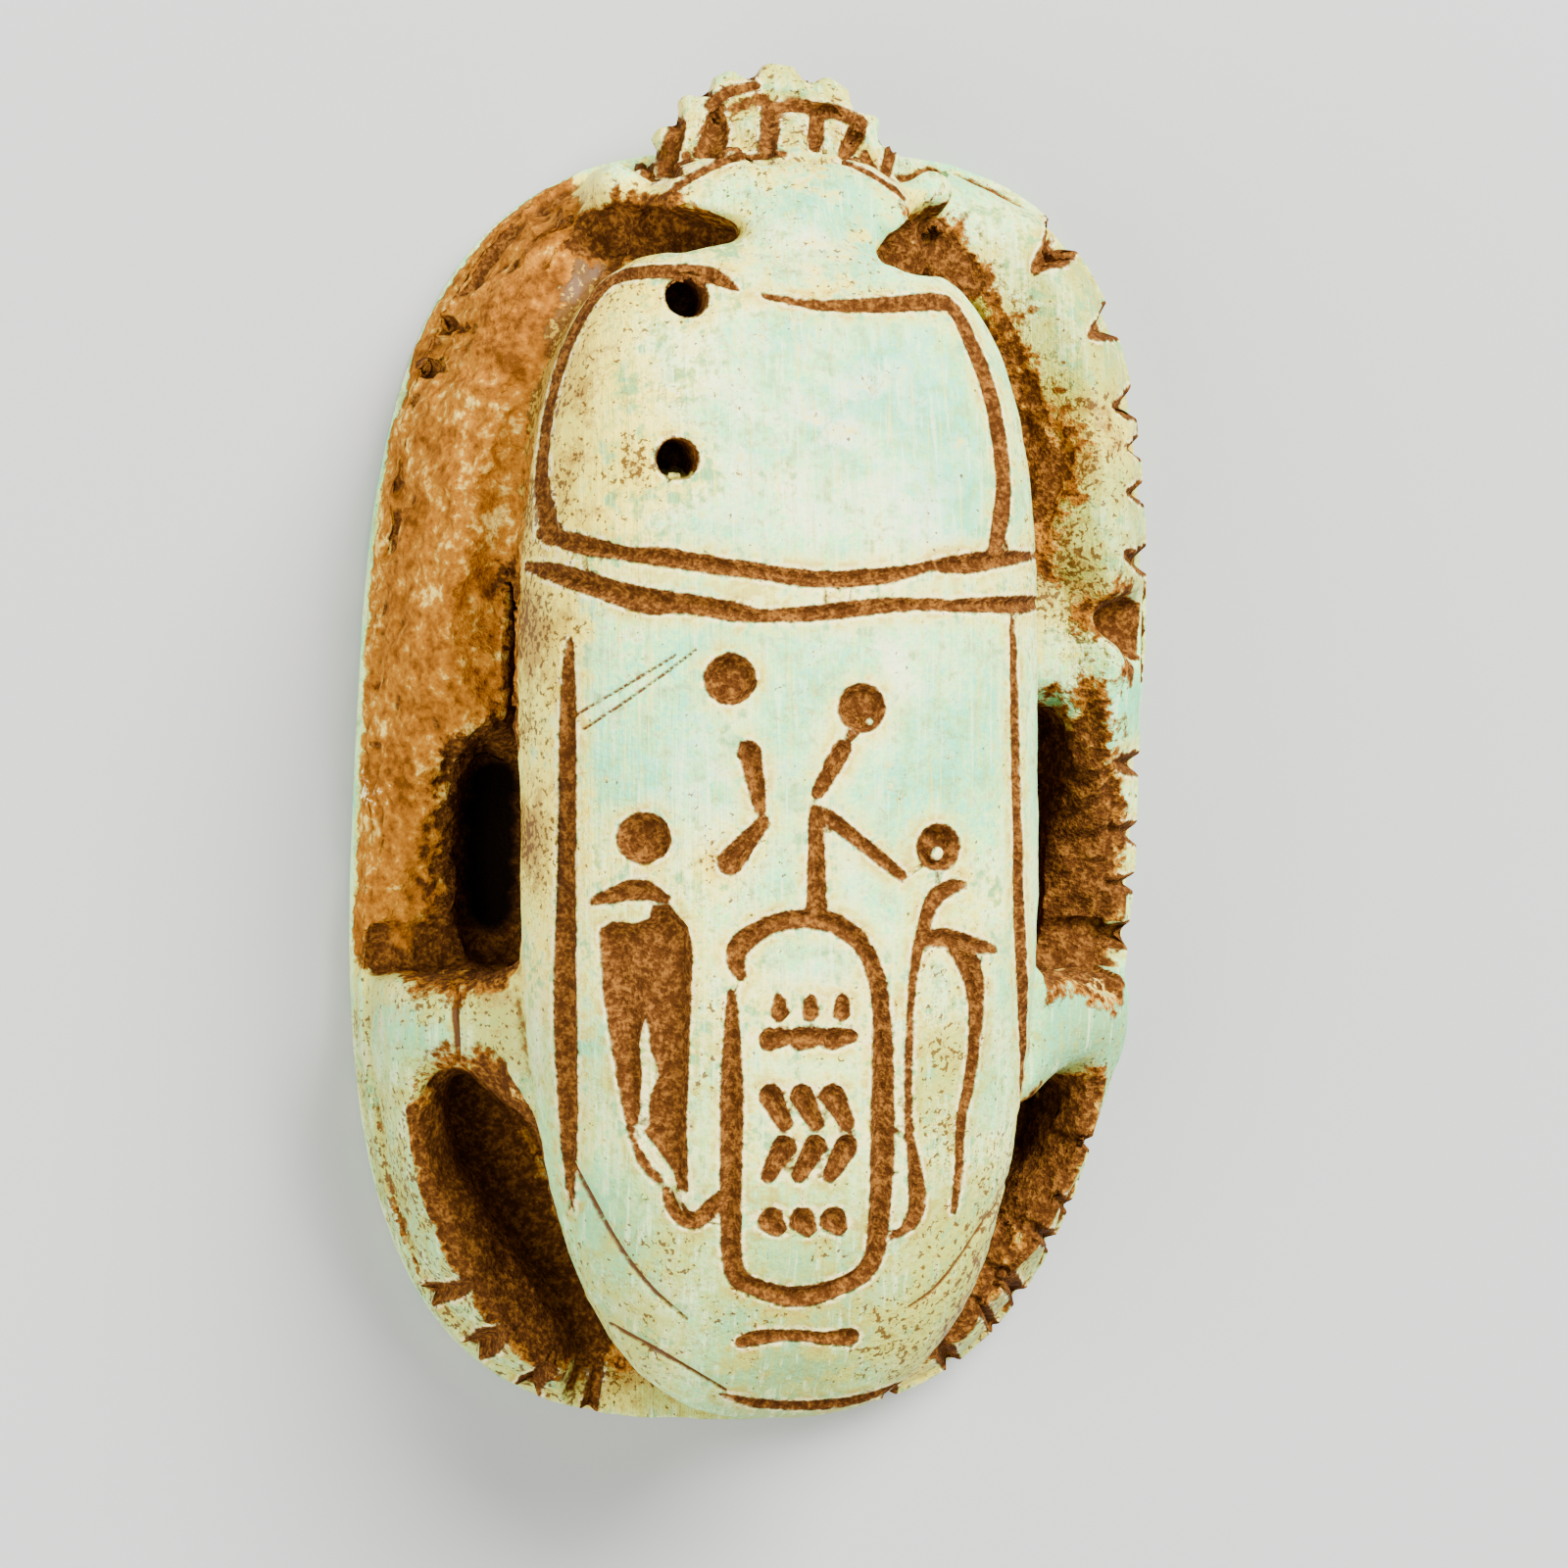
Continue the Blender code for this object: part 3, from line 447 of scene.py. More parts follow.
depth = np.clip(-cut * LINE_SLOPE, 0, LINE_DEPTH)
ragged = RAGGED_EDGE * lattice_noise(here, 0.35, 11)
disc_depth = np.clip((-discs + ragged) * DISC_SLOPE, 0, DISC_DEPTH) * step(flecks, -0.1, 0.15)
beside_ridge = 0.4 + 0.6 * step(ridges, -0.02, 0.2)
hood_depth = np.clip((-hood + ragged) * HOOD_SLOPE, 0, HOOD_DEPTH) * beside_ridge
depth[back] = np.maximum(depth[back], np.maximum(disc_depth, hood_depth))
cut[back] = np.minimum(cut[back], np.minimum(discs, hood))
cut[back] = np.maximum(cut[back], np.maximum(-ridges, -flecks))
depth *= 1 + 0.25 * lattice_noise(uncut, 0.5, 12)
skin.sink(depth * step(skin.facing()[:, 2], -0.1, 0.15))


# The toothed shield in front of the head. Bars are sunk between its ribs, and the notches between the
# teeth run down its outer edge. All of them hold earth.
SHIELD_MIDDLE = (0.2, 15.4)
SHIELD_RADIUS = 4.05
TOOTH_NOTCH_DEGREES = (29, 48, 74, 101, 123, 141)
NOTCH_HALF_WIDTH = 0.42
NOTCH_INNER = 3.1
NOTCH_RUNOUT = 0.1
SHIELD_FROM_Y = 14.2
SHIELD_FROM_Z = 3.2
SHIELD_BARS = (
    ((-3.45, 16.4, 0.1), (-3.5, 15.8, 0.1)),
    ((-2.6, 17.5, 0.12), (-2.8, 16.9, 0.19), (-3.05, 15.9, 0.15)),
    ((-1.55, 17.9, 0.15), (-1.6, 17.2, 0.28), (-1.85, 16.6, 0.3)),
    ((0.0, 17.9, 0.2), (-0.2, 17.1, 0.19), (-0.35, 16.6, 0.15)),
    ((1.35, 17.8, 0.17), (1.15, 17.0, 0.17), (1.05, 16.7, 0.1)),
    ((2.6, 17.6, 0.18), (2.4, 17.1, 0.19), (2.05, 16.6, 0.13)),
    ((3.6, 16.95, 0.1), (3.35, 16.2, 0.12)),
)
SHIELD_ARCS = (
    ((-1.75, 18.0, 0.06), (-1.2, 18.4, 0.1), (-0.4, 18.6, 0.06)),
    ((-0.1, 17.95, 0.1), (1.0, 17.98, 0.11), (2.0, 17.85, 0.13), (2.7, 17.6, 0.1)),
    ((-3.1, 15.35, 0.01), (-2.5, 15.75, 0.03), (-1.4, 16.25, 0.04), (0.1, 16.45, 0.01)),
    ((1.7, 16.2, 0.01), (2.6, 15.75, 0.02), (3.4, 15.2, 0.01)),
)
BAR_DEPTH = 0.22
front = np.flatnonzero((skin.places[:, 1] > SHIELD_FROM_Y) & (skin.places[:, 2] > SHIELD_FROM_Z))
here = skin.places[front]
away_x, away_y = here[:, 0] - SHIELD_MIDDLE[0], here[:, 1] - SHIELD_MIDDLE[1]
turn, reach = np.degrees(np.arctan2(away_y, away_x)), np.hypot(away_x, away_y)
bars = np.full(len(front), HALO_REACH)
for points in SHIELD_BARS + SHIELD_ARCS:
    bars = np.minimum(bars, line_gap(here, points, None))
notches = np.full(len(front), HALO_REACH)
for degrees in TOOTH_NOTCH_DEGREES:
    aside = np.radians(np.abs(turn - degrees)) * reach
    widened = NOTCH_HALF_WIDTH * step(reach, NOTCH_INNER, SHIELD_RADIUS) - NOTCH_RUNOUT
    notches = np.minimum(notches, aside - widened)
depth = np.zeros(len(skin.places))
depth[front] = np.clip(-np.minimum(bars, notches) * LINE_SLOPE, 0, BAR_DEPTH)
skin.sink(depth)
cut[front] = np.minimum(cut[front], np.minimum(bars, notches))


# The file cuts in the rim and the finer hatching beside them. The file was drawn down over the edge, so
# each cut is deepest at the rim and runs out on the leg.
RIM_HALF_WIDTH = 11.6
RIM_LENGTHS = (17.3, 20.0)
RIM_FULLNESS = (3.1, 3.0)
RIM_LEAN = 0.05
RIM_LEAN_FROM = -3.0
RIM_CUTS = (  # side, share of the plate's length, half width at the rim, and how far in it runs
    (1, 0.861, 0.62, 2.4), (1, 0.711, 0.52, 2.0), (1, 0.572, 0.46, 1.8), (1, 0.497, 0.34, 1.5),
    (1, 0.416, 0.36, 1.6), (1, 0.301, 0.4, 1.8), (1, -0.04, 0.34, 1.6), (1, -0.14, 0.3, 1.4),
    (1, -0.215, 0.3, 1.4), (1, -0.295, 0.36, 1.6), (-1, 0.699, 0.3, 1.2), (-1, 0.624, 0.26, 1.0),
    (-1, -0.81, 0.3, 1.6), (-1, -0.895, 0.36, 1.8), (-1, -0.955, 0.34, 1.8),
)
TAIL_HATCHES = (
    (1, -0.6, 0.2, 2.4), (1, -0.69, 0.16, 2.8), (1, -0.745, 0.28, 3.0), (1, -0.825, 0.26, 3.4),
    (1, -0.87, 0.14, 2.6), (1, -0.93, 0.28, 3.2), (1, -0.975, 0.2, 2.4), (-1, -0.985, 0.2, 2.0),
)
RIM_CUT_DEPTH = 0.7
RIM_CUT_SLOPE = 1.4
RIM_CUT_Z = (0.8, 8)
RIM_CUT_BEND = 0.16
HATCH_HALF_WIDTH = 0.29  # a cut no wider than this is a hatch, which is shallow
HATCH_DEPTH = 0.3
NOWHERE = 9  # a gap this wide leaves no mark


def rim_level(places):
    """1 on the outline of the base plate as seen from above, less inside it."""
    across = np.abs(places[:, 0] - RIM_LEAN * (places[:, 1] - RIM_LEAN_FROM)) / RIM_HALF_WIDTH
    ahead = places[:, 1] > 0
    fullness = np.where(ahead, *RIM_FULLNESS)
    along = np.abs(places[:, 1]) / np.where(ahead, *RIM_LENGTHS)
    return (across**fullness + along**fullness) ** (1 / fullness)


def rim_spot(side, share):
    """A point of the base plate's outline, and the way out of the plate there."""
    half = 0 if share > 0 else 1
    length, fullness = RIM_LENGTHS[half], RIM_FULLNESS[half]
    x = RIM_HALF_WIDTH * (1 - abs(share) ** fullness) ** (1 / fullness)
    y = share * length
    out = Vector((side * (x / RIM_HALF_WIDTH) ** (fullness - 1) / RIM_HALF_WIDTH, 0))
    out.y = math.copysign(abs(share) ** (fullness - 1) / length, share)
    return np.array((side * x + RIM_LEAN * (y - RIM_LEAN_FROM), y)), np.array(out.normalized())


depth = np.zeros(len(skin.places))
low = np.flatnonzero((skin.places[:, 2] > RIM_CUT_Z[0]) & (skin.places[:, 2] < RIM_CUT_Z[1]))
here = skin.places[low]
rim_gap = np.full(len(low), HALO_REACH)
rim_depth = np.zeros(len(low))
bent = RIM_CUT_BEND * lattice_noise(here, 1.3, 14)
for side, share, half_width, run in RIM_CUTS + TAIL_HATCHES:
    spot, out = rim_spot(side, share)
    inward = (spot - here[:, :2]) @ out
    aside = np.abs((here[:, :2] - spot) @ np.array((-out[1], out[0])) + bent)
    width = half_width * (1 - np.clip(inward / run, 0, 1) ** 2)
    gap = np.where((inward > -1) & (inward < run), aside - width, HALO_REACH)
    rim_gap = np.minimum(rim_gap, gap)
    deepest = RIM_CUT_DEPTH if half_width > HATCH_HALF_WIDTH else HATCH_DEPTH
    rim_depth = np.maximum(rim_depth, np.clip(-gap * RIM_CUT_SLOPE, 0, deepest))
depth[low] = rim_depth * step(here[:, 2], RIM_CUT_Z[0], 1.8)
skin.sink(depth)
rim_gap += NOWHERE * ((here[:, 0] < 0) & (here[:, 1] > 0))
cut[low] = np.minimum(cut[low], rim_gap - 0.05 + (1 - step(here[:, 2], 1.6, 2.2)) * 0.6)


# The underside. It was rubbed flat, and has nothing but a plain border scratched along its edge.
BORDER_LEVEL = 0.88
BORDER_HALF_WIDTH = 0.16
BORDER_DEPTH = 0.16
BORDER_FILL = 0.1
border = np.abs(rim_level(skin.places) - BORDER_LEVEL) * RIM_HALF_WIDTH - BORDER_HALF_WIDTH
border += np.where(skin.places[:, 2] < 0.3, 0, HALO_REACH)
skin.sink(np.clip(-border * LINE_SLOPE, 0, BORDER_DEPTH))
# Thinning leaves few points on the flat underside, so the earth in this line ends at once beside it.
cut = np.minimum(cut, np.where(border > 0, HALO_REACH, border - BORDER_FILL))


# The bare left flank. The glaze is gone there, and the rusty stone under it is pitted and crumbled, as it
# is in the valley beside the right foreleg, in the hollows behind the legs and on the left thigh.
FLANK_LEFT = (
    (-5.2, 17.5), (-13.5, 17.5), (-13.5, -7.0), (-9.8, -6.7), (-7.2, -5.6), (-7.4, 0.0), (-7.4, 5.0),
    (-6.9, 9.5), (-5.8, 12.9), (-5.3, 14.2),
)
EARTH_ZONES = {
    "valley_right": (
        (5.6, 13.2), (6.8, 13.2), (7.5, 12.1), (8.1, 10.6), (8.6, 9.5), (9.2, 8.3), (9.2, 7.5),
        (8.6, 5.7), (8.2, 4.4), (7.2, 5.0), (6.9, 8.0), (6.3, 10.3),
    ),
    "slot_left": (
        (-5.6, 15.2), (-3.4, 15.0), (-1.8, 14.5), (-1.3, 13.9), (-2.2, 13.3), (-4.2, 13.5),
        (-5.9, 13.9),
    ),
    "slot_right": (
        (4.6, 15.1), (3.6, 14.6), (2.1, 13.5), (1.6, 12.9), (1.8, 12.4), (3.3, 12.4), (5.2, 12.5),
        (6.3, 12.7), (6.1, 13.9),
    ),
    "knee": ((8.8, 3.6), (9.2, 4.0), (12.0, 4.3), (12.0, 1.6), (10.6, 2.0), (10.0, 3.0)),
    "pocket_right": (
        (8.4, 0.9), (8.9, 0.5), (9.4, 1.8), (9.5, 0.9), (10.0, 0.2), (9.9, -0.6), (10.6, -1.4),
        (11.0, -4.3), (10.1, -7.6), (8.5, -7.0), (3.0, -7.0), (3.0, 0.9),
    ),
    "pocket_left": (
        (-7.0, 0.5), (-9.0, 0.2), (-9.4, -2.0), (-9.3, -5.5), (-8.3, -6.6), (-3.0, -7.0), (-3.0, 0.5),
    ),
    "hind_left": (
        (-9.6, -9.4), (-8.6, -9.0), (-7.0, -9.6), (-5.0, -15.0), (-3.7, -17.4), (-3.9, -18.4),
        (-6.2, -18.3), (-8.3, -17.0), (-9.8, -15.2), (-10.6, -12.8), (-10.5, -10.8),
    ),
    "hind_right": (
        (6.0, -10.6), (8.4, -10.2), (9.2, -9.9), (10.4, -10.4), (10.3, -12.0), (9.3, -13.6), (7.4, -14.2),
        (5.5, -15.5), (5.0, -13.5),
    ),
    "tail_right": (
        (9.6, -12.6), (9.0, -14.6), (7.6, -16.6), (5.2, -18.0), (3.8, -18.6), (3.9, -17.9),
        (5.4, -16.6), (7.2, -14.6), (8.6, -12.8),
    ),
    "beside_flank_left": ((-7.5, 5.0), (-7.0, 5.0), (-6.6, 3.0), (-6.6, -0.5), (-7.7, -0.5), (-7.4, 3.0)),
    "thigh_front_left": ((-10.2, -6.4), (-7.2, -5.2), (-7.2, -6.5), (-8.6, -6.95), (-10.2, -7.0)),
}
THIN_EARTH = {  # how much less of these zones is covered, and more where it's below 0
    "valley_right": 0.5, "tail_right": 0.15, "hind_right": -0.2,
}
OUTER_WALL_CLEAN = 2.5
BARE_PITS = ((2.2, 0.25, 20), (0.9, 0.25, 21), (0.45, 0.16, 22))
here = skin.places
under_shoulder = 1 - step(here[:, 2], 8.6, 9.4)
flank_gap = outline_gap(here, FLANK_LEFT)
flank = (1 - step(flank_gap, -0.5, 0.3)) * under_shoulder
flank *= np.maximum(step(here[:, 2], 0.5, 1.1), step(here[:, 1], 7.0, 9.0) * step(here[:, 2], 0.1, 0.4))
earth_zone = np.full(len(here), HALO_REACH)
for name, outline in EARTH_ZONES.items():
    gap = outline_gap(here, outline) + (1 - under_shoulder) * NOWHERE
    earth_zone = np.minimum(earth_zone, gap + THIN_EARTH.get(name, 0))
outer_wall = step(rim_level(here), 0.9, 0.96) * (1 - step(skin.facing()[:, 2], 0.35, 0.7))
underneath = 1 - step(here[:, 2], 0.3, 0.9)
earth_zone += OUTER_WALL_CLEAN * outer_wall + NOWHERE * underneath
crumbled = np.maximum(flank, 0.7 * (1 - step(earth_zone, -0.3, 0.1)))
pits = np.zeros(len(here))
for spacing, height, seed in BARE_PITS:
    pits += height * np.abs(lattice_noise(here, spacing, seed))
skin.sink(pits * crumbled)


# The cracks. Two hairlines run over the end of the wing cases, and one splits the left thigh.
CRACKS = (
    (
        (-6.5, -11.4, 0.02), (-5.9, -12.6, 0.03), (-5.25, -13.8, 0.03), (-4.4, -14.95, 0.03),
        (-3.35, -15.9, 0.02),
    ),
    ((-5.2, -16.2, 0.02), (-4.2, -16.75, 0.04), (-3.5, -17.15, 0.03), (-2.1, -18.0, 0.02)),
    (
        (6.7, -10.4, 0.02), (6.3, -11.6, 0.03), (5.6, -12.8, 0.03), (4.9, -13.5, 0.03),
        (3.7, -15.0, 0.03), (2.8, -15.65, 0.02),
    ),
    ((-9.2, -6.9, 0.06), (-9.25, -7.9, 0.07), (-9.15, -9.1, 0.05)),
    ((-6.7, 0.45, 0.02), (-5.2, 1.4, 0.02), (-3.95, 2.2, 0.02)),
    ((-6.3, 0.2, 0.02), (-4.9, 1.2, 0.02), (-3.4, 2.35, 0.02)),
)
CRACK_WIDENING = 0.05
CRACK_SLOPE = 1.5
CRACK_DEPTH = 0.2
HOLE_STAIN = 0.1
here = skin.places
cracks = np.min([line_gap(here, points, None) for points in CRACKS], 0)
cracks += BURR + NOWHERE * (here[:, 2] < 1.5)
skin.sink(np.clip(-(cracks - CRACK_WIDENING) * CRACK_SLOPE, 0, CRACK_DEPTH))
for x, y in DRILL_HOLES:
    stained = disc_gap(here, x, y, DRILL_RADIUS) - HOLE_STAIN
    cut = np.minimum(cut, stained + NOWHERE * (here[:, 2] < 7))


# Where the glaze changed. It stayed blue-green where it lies thick, it yellowed on the left and around
# the figures, and it turned pinkish white where it was rubbed. Three small white patches on the left
# thigh's outer edge paint a highlight line instead, and the dark patches deep in the left pocket paint
# shade. A patch has a place, radius and strength.
BLUE_PATCHES = (
    (3.3, 9.5, 2.2, 0.5), (3.6, 6.2, 1.4, 0.6), (1.2, 15.0, 1.5, 0.8), (-4.6, 1.0, 1.8, 0.4),
    (4.6, -0.6, 1.6, 0.3), (-0.3, -16.3, 2.4, 0.6), (-5.3, -14.0, 1.8, 0.4), (8.8, -8.3, 1.6, 0.9),
    (-10.3, -8.0, 0.8, 0.9), (10.8, 0.9, 0.8, 0.5), (10.5, 8.5, 1.3, 0.4), (-0.8, -13.2, 1.0, 0.5),
    (-3.1, -10.5, 0.6, 0.4), (-6.1, -8.3, 0.6, 0.5), (5.0, -9.5, 0.8, 0.4), (0.6, 9.3, 1.6, 0.3),
    (-3.2, 3.9, 1.2, 0.3),
)
YELLOW_PATCHES = (
    (-6.2, 9.5, 2.2, 0.9), (-6.2, 6.6, 1.6, 1.0), (-7.4, 3.2, 1.2, 1.0), (-7.6, -2.5, 1.0, 0.8),
    (-4.5, -8.7, 1.6, 0.5), (3.4, -9.0, 1.2, 0.8), (-9.4, -9.6, 1.8, 0.5), (9.2, 12.5, 2.2, 0.8),
    (8.8, 4.9, 1.6, 0.8), (0.4, 18.4, 2.4, 0.6), (0.3, 12.9, 0.9, 0.5), (-4.5, -16.5, 2.2, 0.7),
    (4.4, -15.6, 2.6, 0.9), (-5.0, 12.9, 1.4, 1.1), (-4.9, 7.3, 1.2, 0.9), (10.8, 6.2, 1.4, 0.6),
    (9.8, 9.0, 2.4, 1.2), (-2.0, 13.4, 1.0, 0.6), (-8.6, -8.0, 1.2, 0.7), (7.6, 10.5, 1.6, 0.7),
    (-1.0, -14.6, 2.0, 0.3), (-3.4, -3.8, 1.0, 0.5), (4.2, -4.2, 0.8, 0.5),
)
# The pinkish white of rubbed glaze. The last three small patches paint a highlight line along the left
# thigh's outer edge.
WHITE_AND_HIGHLIGHT_PATCHES = (
    (-0.4, 8.0, 2.6, 0.6), (2.2, 5.6, 1.3, 0.7), (1.6, 1.9, 1.4, 0.6), (-2.6, -1.0, 1.4, 0.5),
    (0.3, 13.2, 0.9, 0.7), (-0.3, -6.6, 1.2, 0.5), (4.3, -7.2, 1.0, 0.3), (-7.5, -8.2, 1.2, 0.6),
    (0.6, -3.2, 1.0, 0.3), (-10.6, -7.3, 0.35, 1.0), (-11.0, -8.2, 0.35, 1.0),
    (-11.2, -9.2, 0.35, 0.9),
)
SOILED_PATCHES = (
    (-9.6, -10.2, 1.6, 0.5), (-9.9, -12.6, 1.6, 1.0), (-8.6, -15.4, 1.8, 1.0), (-6.2, -17.8, 1.6, 0.9),
    (7.4, -13.2, 2.2, 1.0), (5.4, -16.0, 1.8, 0.9), (9.6, -11.2, 1.6, 1.0), (10.2, -1.5, 1.6, 0.5),
    (8.4, 8.0, 1.4, 0.8), (-5.6, 13.6, 1.2, 0.8), (-4.9, 7.4, 0.6, 0.8), (-3.2, 12.2, 0.7, 0.6),
    (0.0, 18.2, 2.6, 0.6), (-9.6, -7.2, 1.2, 0.6), (1.8, 13.0, 1.2, 0.4), (9.6, 3.8, 1.2, 0.7),
    (-2.2, -3.2, 1.0, 0.4), (-8.2, 3.2, 1.0, 0.9), (-8.0, -3.0, 0.9, 0.9), (8.0, 5.0, 1.3, 1.0),
    (3.4, -6.6, 0.5, 0.9), (3.6, -8.6, 0.6, 0.7), (3.5, -10.9, 0.6, 1.0), (-2.9, -7.2, 0.5, 0.6),
    (-2.9, -9.4, 0.5, 0.7), (-0.4, -10.8, 0.9, 0.4), (-4.0, -14.2, 1.0, 0.5), (2.4, -16.6, 1.2, 0.7),
    (-1.6, -15.8, 1.0, 0.5), (0.4, -13.9, 0.8, 0.5), (-11.9, -8.4, 0.5, 1.3), (-11.9, -10.2, 0.6, 1.3),
    (-11.6, -12.2, 0.7, 1.3), (-11.0, -14.2, 0.8, 1.2), (-9.9, -16.4, 0.9, 1.2), (-7.7, 9.4, 0.8, 0.9),
    (-7.9, 6.4, 0.9, 1.0), (-6.8, 12.2, 0.9, 1.0), (-7.9, 0.4, 0.8, 0.8),
)
# Painted shade: these patches turn the earth near black deep in the left pocket under the body, where shade
# falls.
PAINTED_SHADE_PATCHES = (
    (-7.5, -1.4, 0.8, 1.0), (-7.6, -2.3, 0.9, 1.0), (-7.6, -3.2, 0.9, 1.0), (-7.6, -4.1, 0.9, 1.0),
    (-7.6, -4.9, 0.8, 1.0),
)
BLEACHED_PATCHES = (
    (-9.8, 1.5, 2.0, 1.0), (-9.6, 5.5, 2.0, 0.9), (-10.2, -1.2, 1.4, 0.8), (-10.4, 10.2, 1.3, 0.9),
    (-8.8, 12.9, 1.2, 0.4), (-7.4, -5.5, 0.4, 1.2), (-9.6, -3.4, 1.4, 0.7),
)
OLIVE_PATCHES = (
    (-4.4, -13.6, 2.0, 0.8), (0.2, -16.2, 2.8, 1.1), (4.2, -14.6, 2.4, 0.8), (-9.4, -9.6, 2.2, 0.8),
    (-9.8, -13.4, 2.2, 0.9), (0.0, -18.6, 2.4, 1.0), (4.0, -9.5, 1.8, 0.6), (-4.6, -9.2, 2.0, 0.5),
    (9.0, -8.6, 1.8, 0.8), (9.4, 12.0, 2.6, 0.6), (10.0, 5.5, 2.4, 0.6), (0.6, 18.6, 2.4, 0.4),
    (-6.8, -16.4, 2.6, 0.9), (7.6, -15.0, 3.0, 0.8),
)
PALE_CHIPS = (
    (-10.7, 11.9, 0.5, 1.0), (-11.0, 10.7, 0.6, 1.0), (-10.0, 12.6, 0.4, 0.7), (-11.5, -1.6, 0.5, 0.6),
)


UNDERSIDE_FADE = 0.8


def patched(patches):
    """The strongest of these patches at each point, seen from above. They fade out on the underside."""
    strength = np.zeros(len(skin.places))
    for x, y, radius, amount in patches:
        away = np.hypot(skin.places[:, 0] - x, skin.places[:, 1] - y) / radius
        strength = np.maximum(strength, amount * np.exp(-away * away / 2))
    return strength * (1 - UNDERSIDE_FADE * underneath)


CREVICE_ROUNDS = 50
PALE_GRAIN = (-3.75, 7.2, 0.4)
PALE_GRAIN_Z = (11, 13.7)
CLEAR_OF_CUTS = 0.3
WIPED_PATCHES = (
    (-7.7, 9.4, 0.9, 1.0), (-7.8, 7.8, 0.9, 1.0), (-7.9, 6.2, 0.9, 1.0), (-8.0, 4.6, 0.8, 0.8),
)
smooth = skin.eased(skin.places, CREVICE_ROUNDS)
crevice = np.sum((smooth - skin.places) * skin.facing(), axis=1)
crevice *= 1 - patched(WIPED_PATCHES)
z = skin.places[:, 2]
on_grain = (disc_gap(skin.places, *PALE_GRAIN) < 0) & (z > PALE_GRAIN_Z[0]) & (z < PALE_GRAIN_Z[1])
crevice[on_grain] = 0
cut[on_grain] = CLEAR_OF_CUTS
skin.record("crevice", crevice)
skin.record("cut", np.clip(cut, -1, HALO_REACH))
skin.record("earth_zone", np.clip(earth_zone, -1, HALO_REACH))
skin.record("bare", flank)
skin.record("beside_bare", np.clip(flank_gap + NOWHERE * underneath, -1, HALO_REACH))
skin.record("crack", np.clip(cracks, -1, HALO_REACH))
skin.record("blue", patched(BLUE_PATCHES))
skin.record("yellow", patched(YELLOW_PATCHES))
skin.record("white", patched(WHITE_AND_HIGHLIGHT_PATCHES))
skin.record("chipped", patched(PALE_CHIPS))
skin.record("soiled", patched(SOILED_PATCHES))
skin.record("olive", patched(OLIVE_PATCHES))
skin.record("gloom", patched(PAINTED_SHADE_PATCHES))
skin.record("bleached", patched(BLEACHED_PATCHES))
# A browner band along the foot of the body's wall, low on it and close to its outline.
foot = (body_plan(skin.places[:, 0], skin.places[:, 1]) - 1) * BODY_HALF_WIDTH
foot_height = (1 - step(skin.places[:, 2], 7.5, 9.5)) * (1 - underneath)
skin.record("foot", (1 - step(np.abs(foot), 0.3, 1.4)) * foot_height)

# The skin is thinned where it is plain, so that its triangles go to the carving.
TRIANGLES = 190000
thin = skin.obj.modifiers.new("thinned", "DECIMATE")
thin.ratio = TRIANGLES / (len(skin.obj.data.polygons) * 2)
if thin.ratio < 1:
    skin.apply_modifiers()
skin.obj.modifiers.clear()
skin.places[:, 2] = np.maximum(skin.places[:, 2], 0)
skin.places *= MM
skin.facing()


# The finish. The stone was glazed pale green, and the glaze is worn, stained and rubbed. Where it's lost
# the rusty stone shows, and dark earth sits in the cuts, the crevices and the hollows. The near black deep
# in the left pocket is painted shadow, and a white line on the left thigh's edge is a painted highlight.
class Wire:
    """The output of a shader node. Python's operators add Math nodes to it."""

    tree = None

    def __init__(self, socket):
        self.socket = socket

    @classmethod
    def node(cls, kind, settings=None, inputs=None, output=0):
        made = cls.tree.nodes.new(kind)
        for name, value in (settings or {}).items():
            if name == "stops":
                ramp = made.color_ramp
                while len(ramp.elements) < len(value):
                    ramp.elements.new(1.0)
                for element, (place, colour) in zip(ramp.elements, value):
                    element.position = place
                    element.color = (*colour, 1)
            else:
                setattr(made, name, value)
        for key, value in (inputs or {}).items():
            if isinstance(value, Wire):
                cls.tree.links.new(value.socket, made.inputs[key])
            else:
                made.inputs[key].default_value = value
        return cls(made.outputs[output])

    def maths(self, operation, first, second):
        return Wire.node("ShaderNodeMath", {"operation": operation}, {0: first, 1: second})

    def __add__(self, other):
        return self.maths("ADD", self, other)

    def __sub__(self, other):
        return self.maths("SUBTRACT", self, other)

    def __rsub__(self, other):
        return self.maths("SUBTRACT", other, self)

    def __mul__(self, other):
        return self.maths("MULTIPLY", self, other)

    __radd__ = __add__
    __rmul__ = __mul__


def recorded(name):
    return Wire.node("ShaderNodeAttribute", {"attribute_name": name}, output="Fac")


def grain(spacing, detail=2, stretch=(1, 1, 1)):
    """Noise from 0 to 1 that changes over this many millimetres, drawn out by stretch."""
    place = Wire.node("ShaderNodeTexCoord", output="Object")
    scale = [1 / (spacing * MM * s) for s in stretch]
    spread = Wire.node("ShaderNodeMapping", {"vector_type": "POINT"}, {"Vector": place, "Scale": scale})
    return Wire.node(
        "ShaderNodeTexNoise",
        inputs={"Vector": spread, "Scale": 1.0, "Detail": detail, "Roughness": 0.6},
    )


def rise(value, start, end):
    """0 up to start and 1 from end."""
    return Wire.node(
        "ShaderNodeMapRange",
        {"interpolation_type": "SMOOTHSTEP"},
        {"Value": value, "From Min": start, "From Max": end},
    )


def ramp(value, *stops):
    return Wire.node("ShaderNodeValToRGB", {"stops": stops}, {0: value})


def blend(factor, first, second):
    """first where factor is 0 and second where it is 1."""
    first, second = ((*c, 1) if isinstance(c, tuple) else c for c in (first, second))
    return Wire.node("ShaderNodeMix", {"data_type": "RGBA"}, {0: factor, 6: first, 7: second}, output=2)


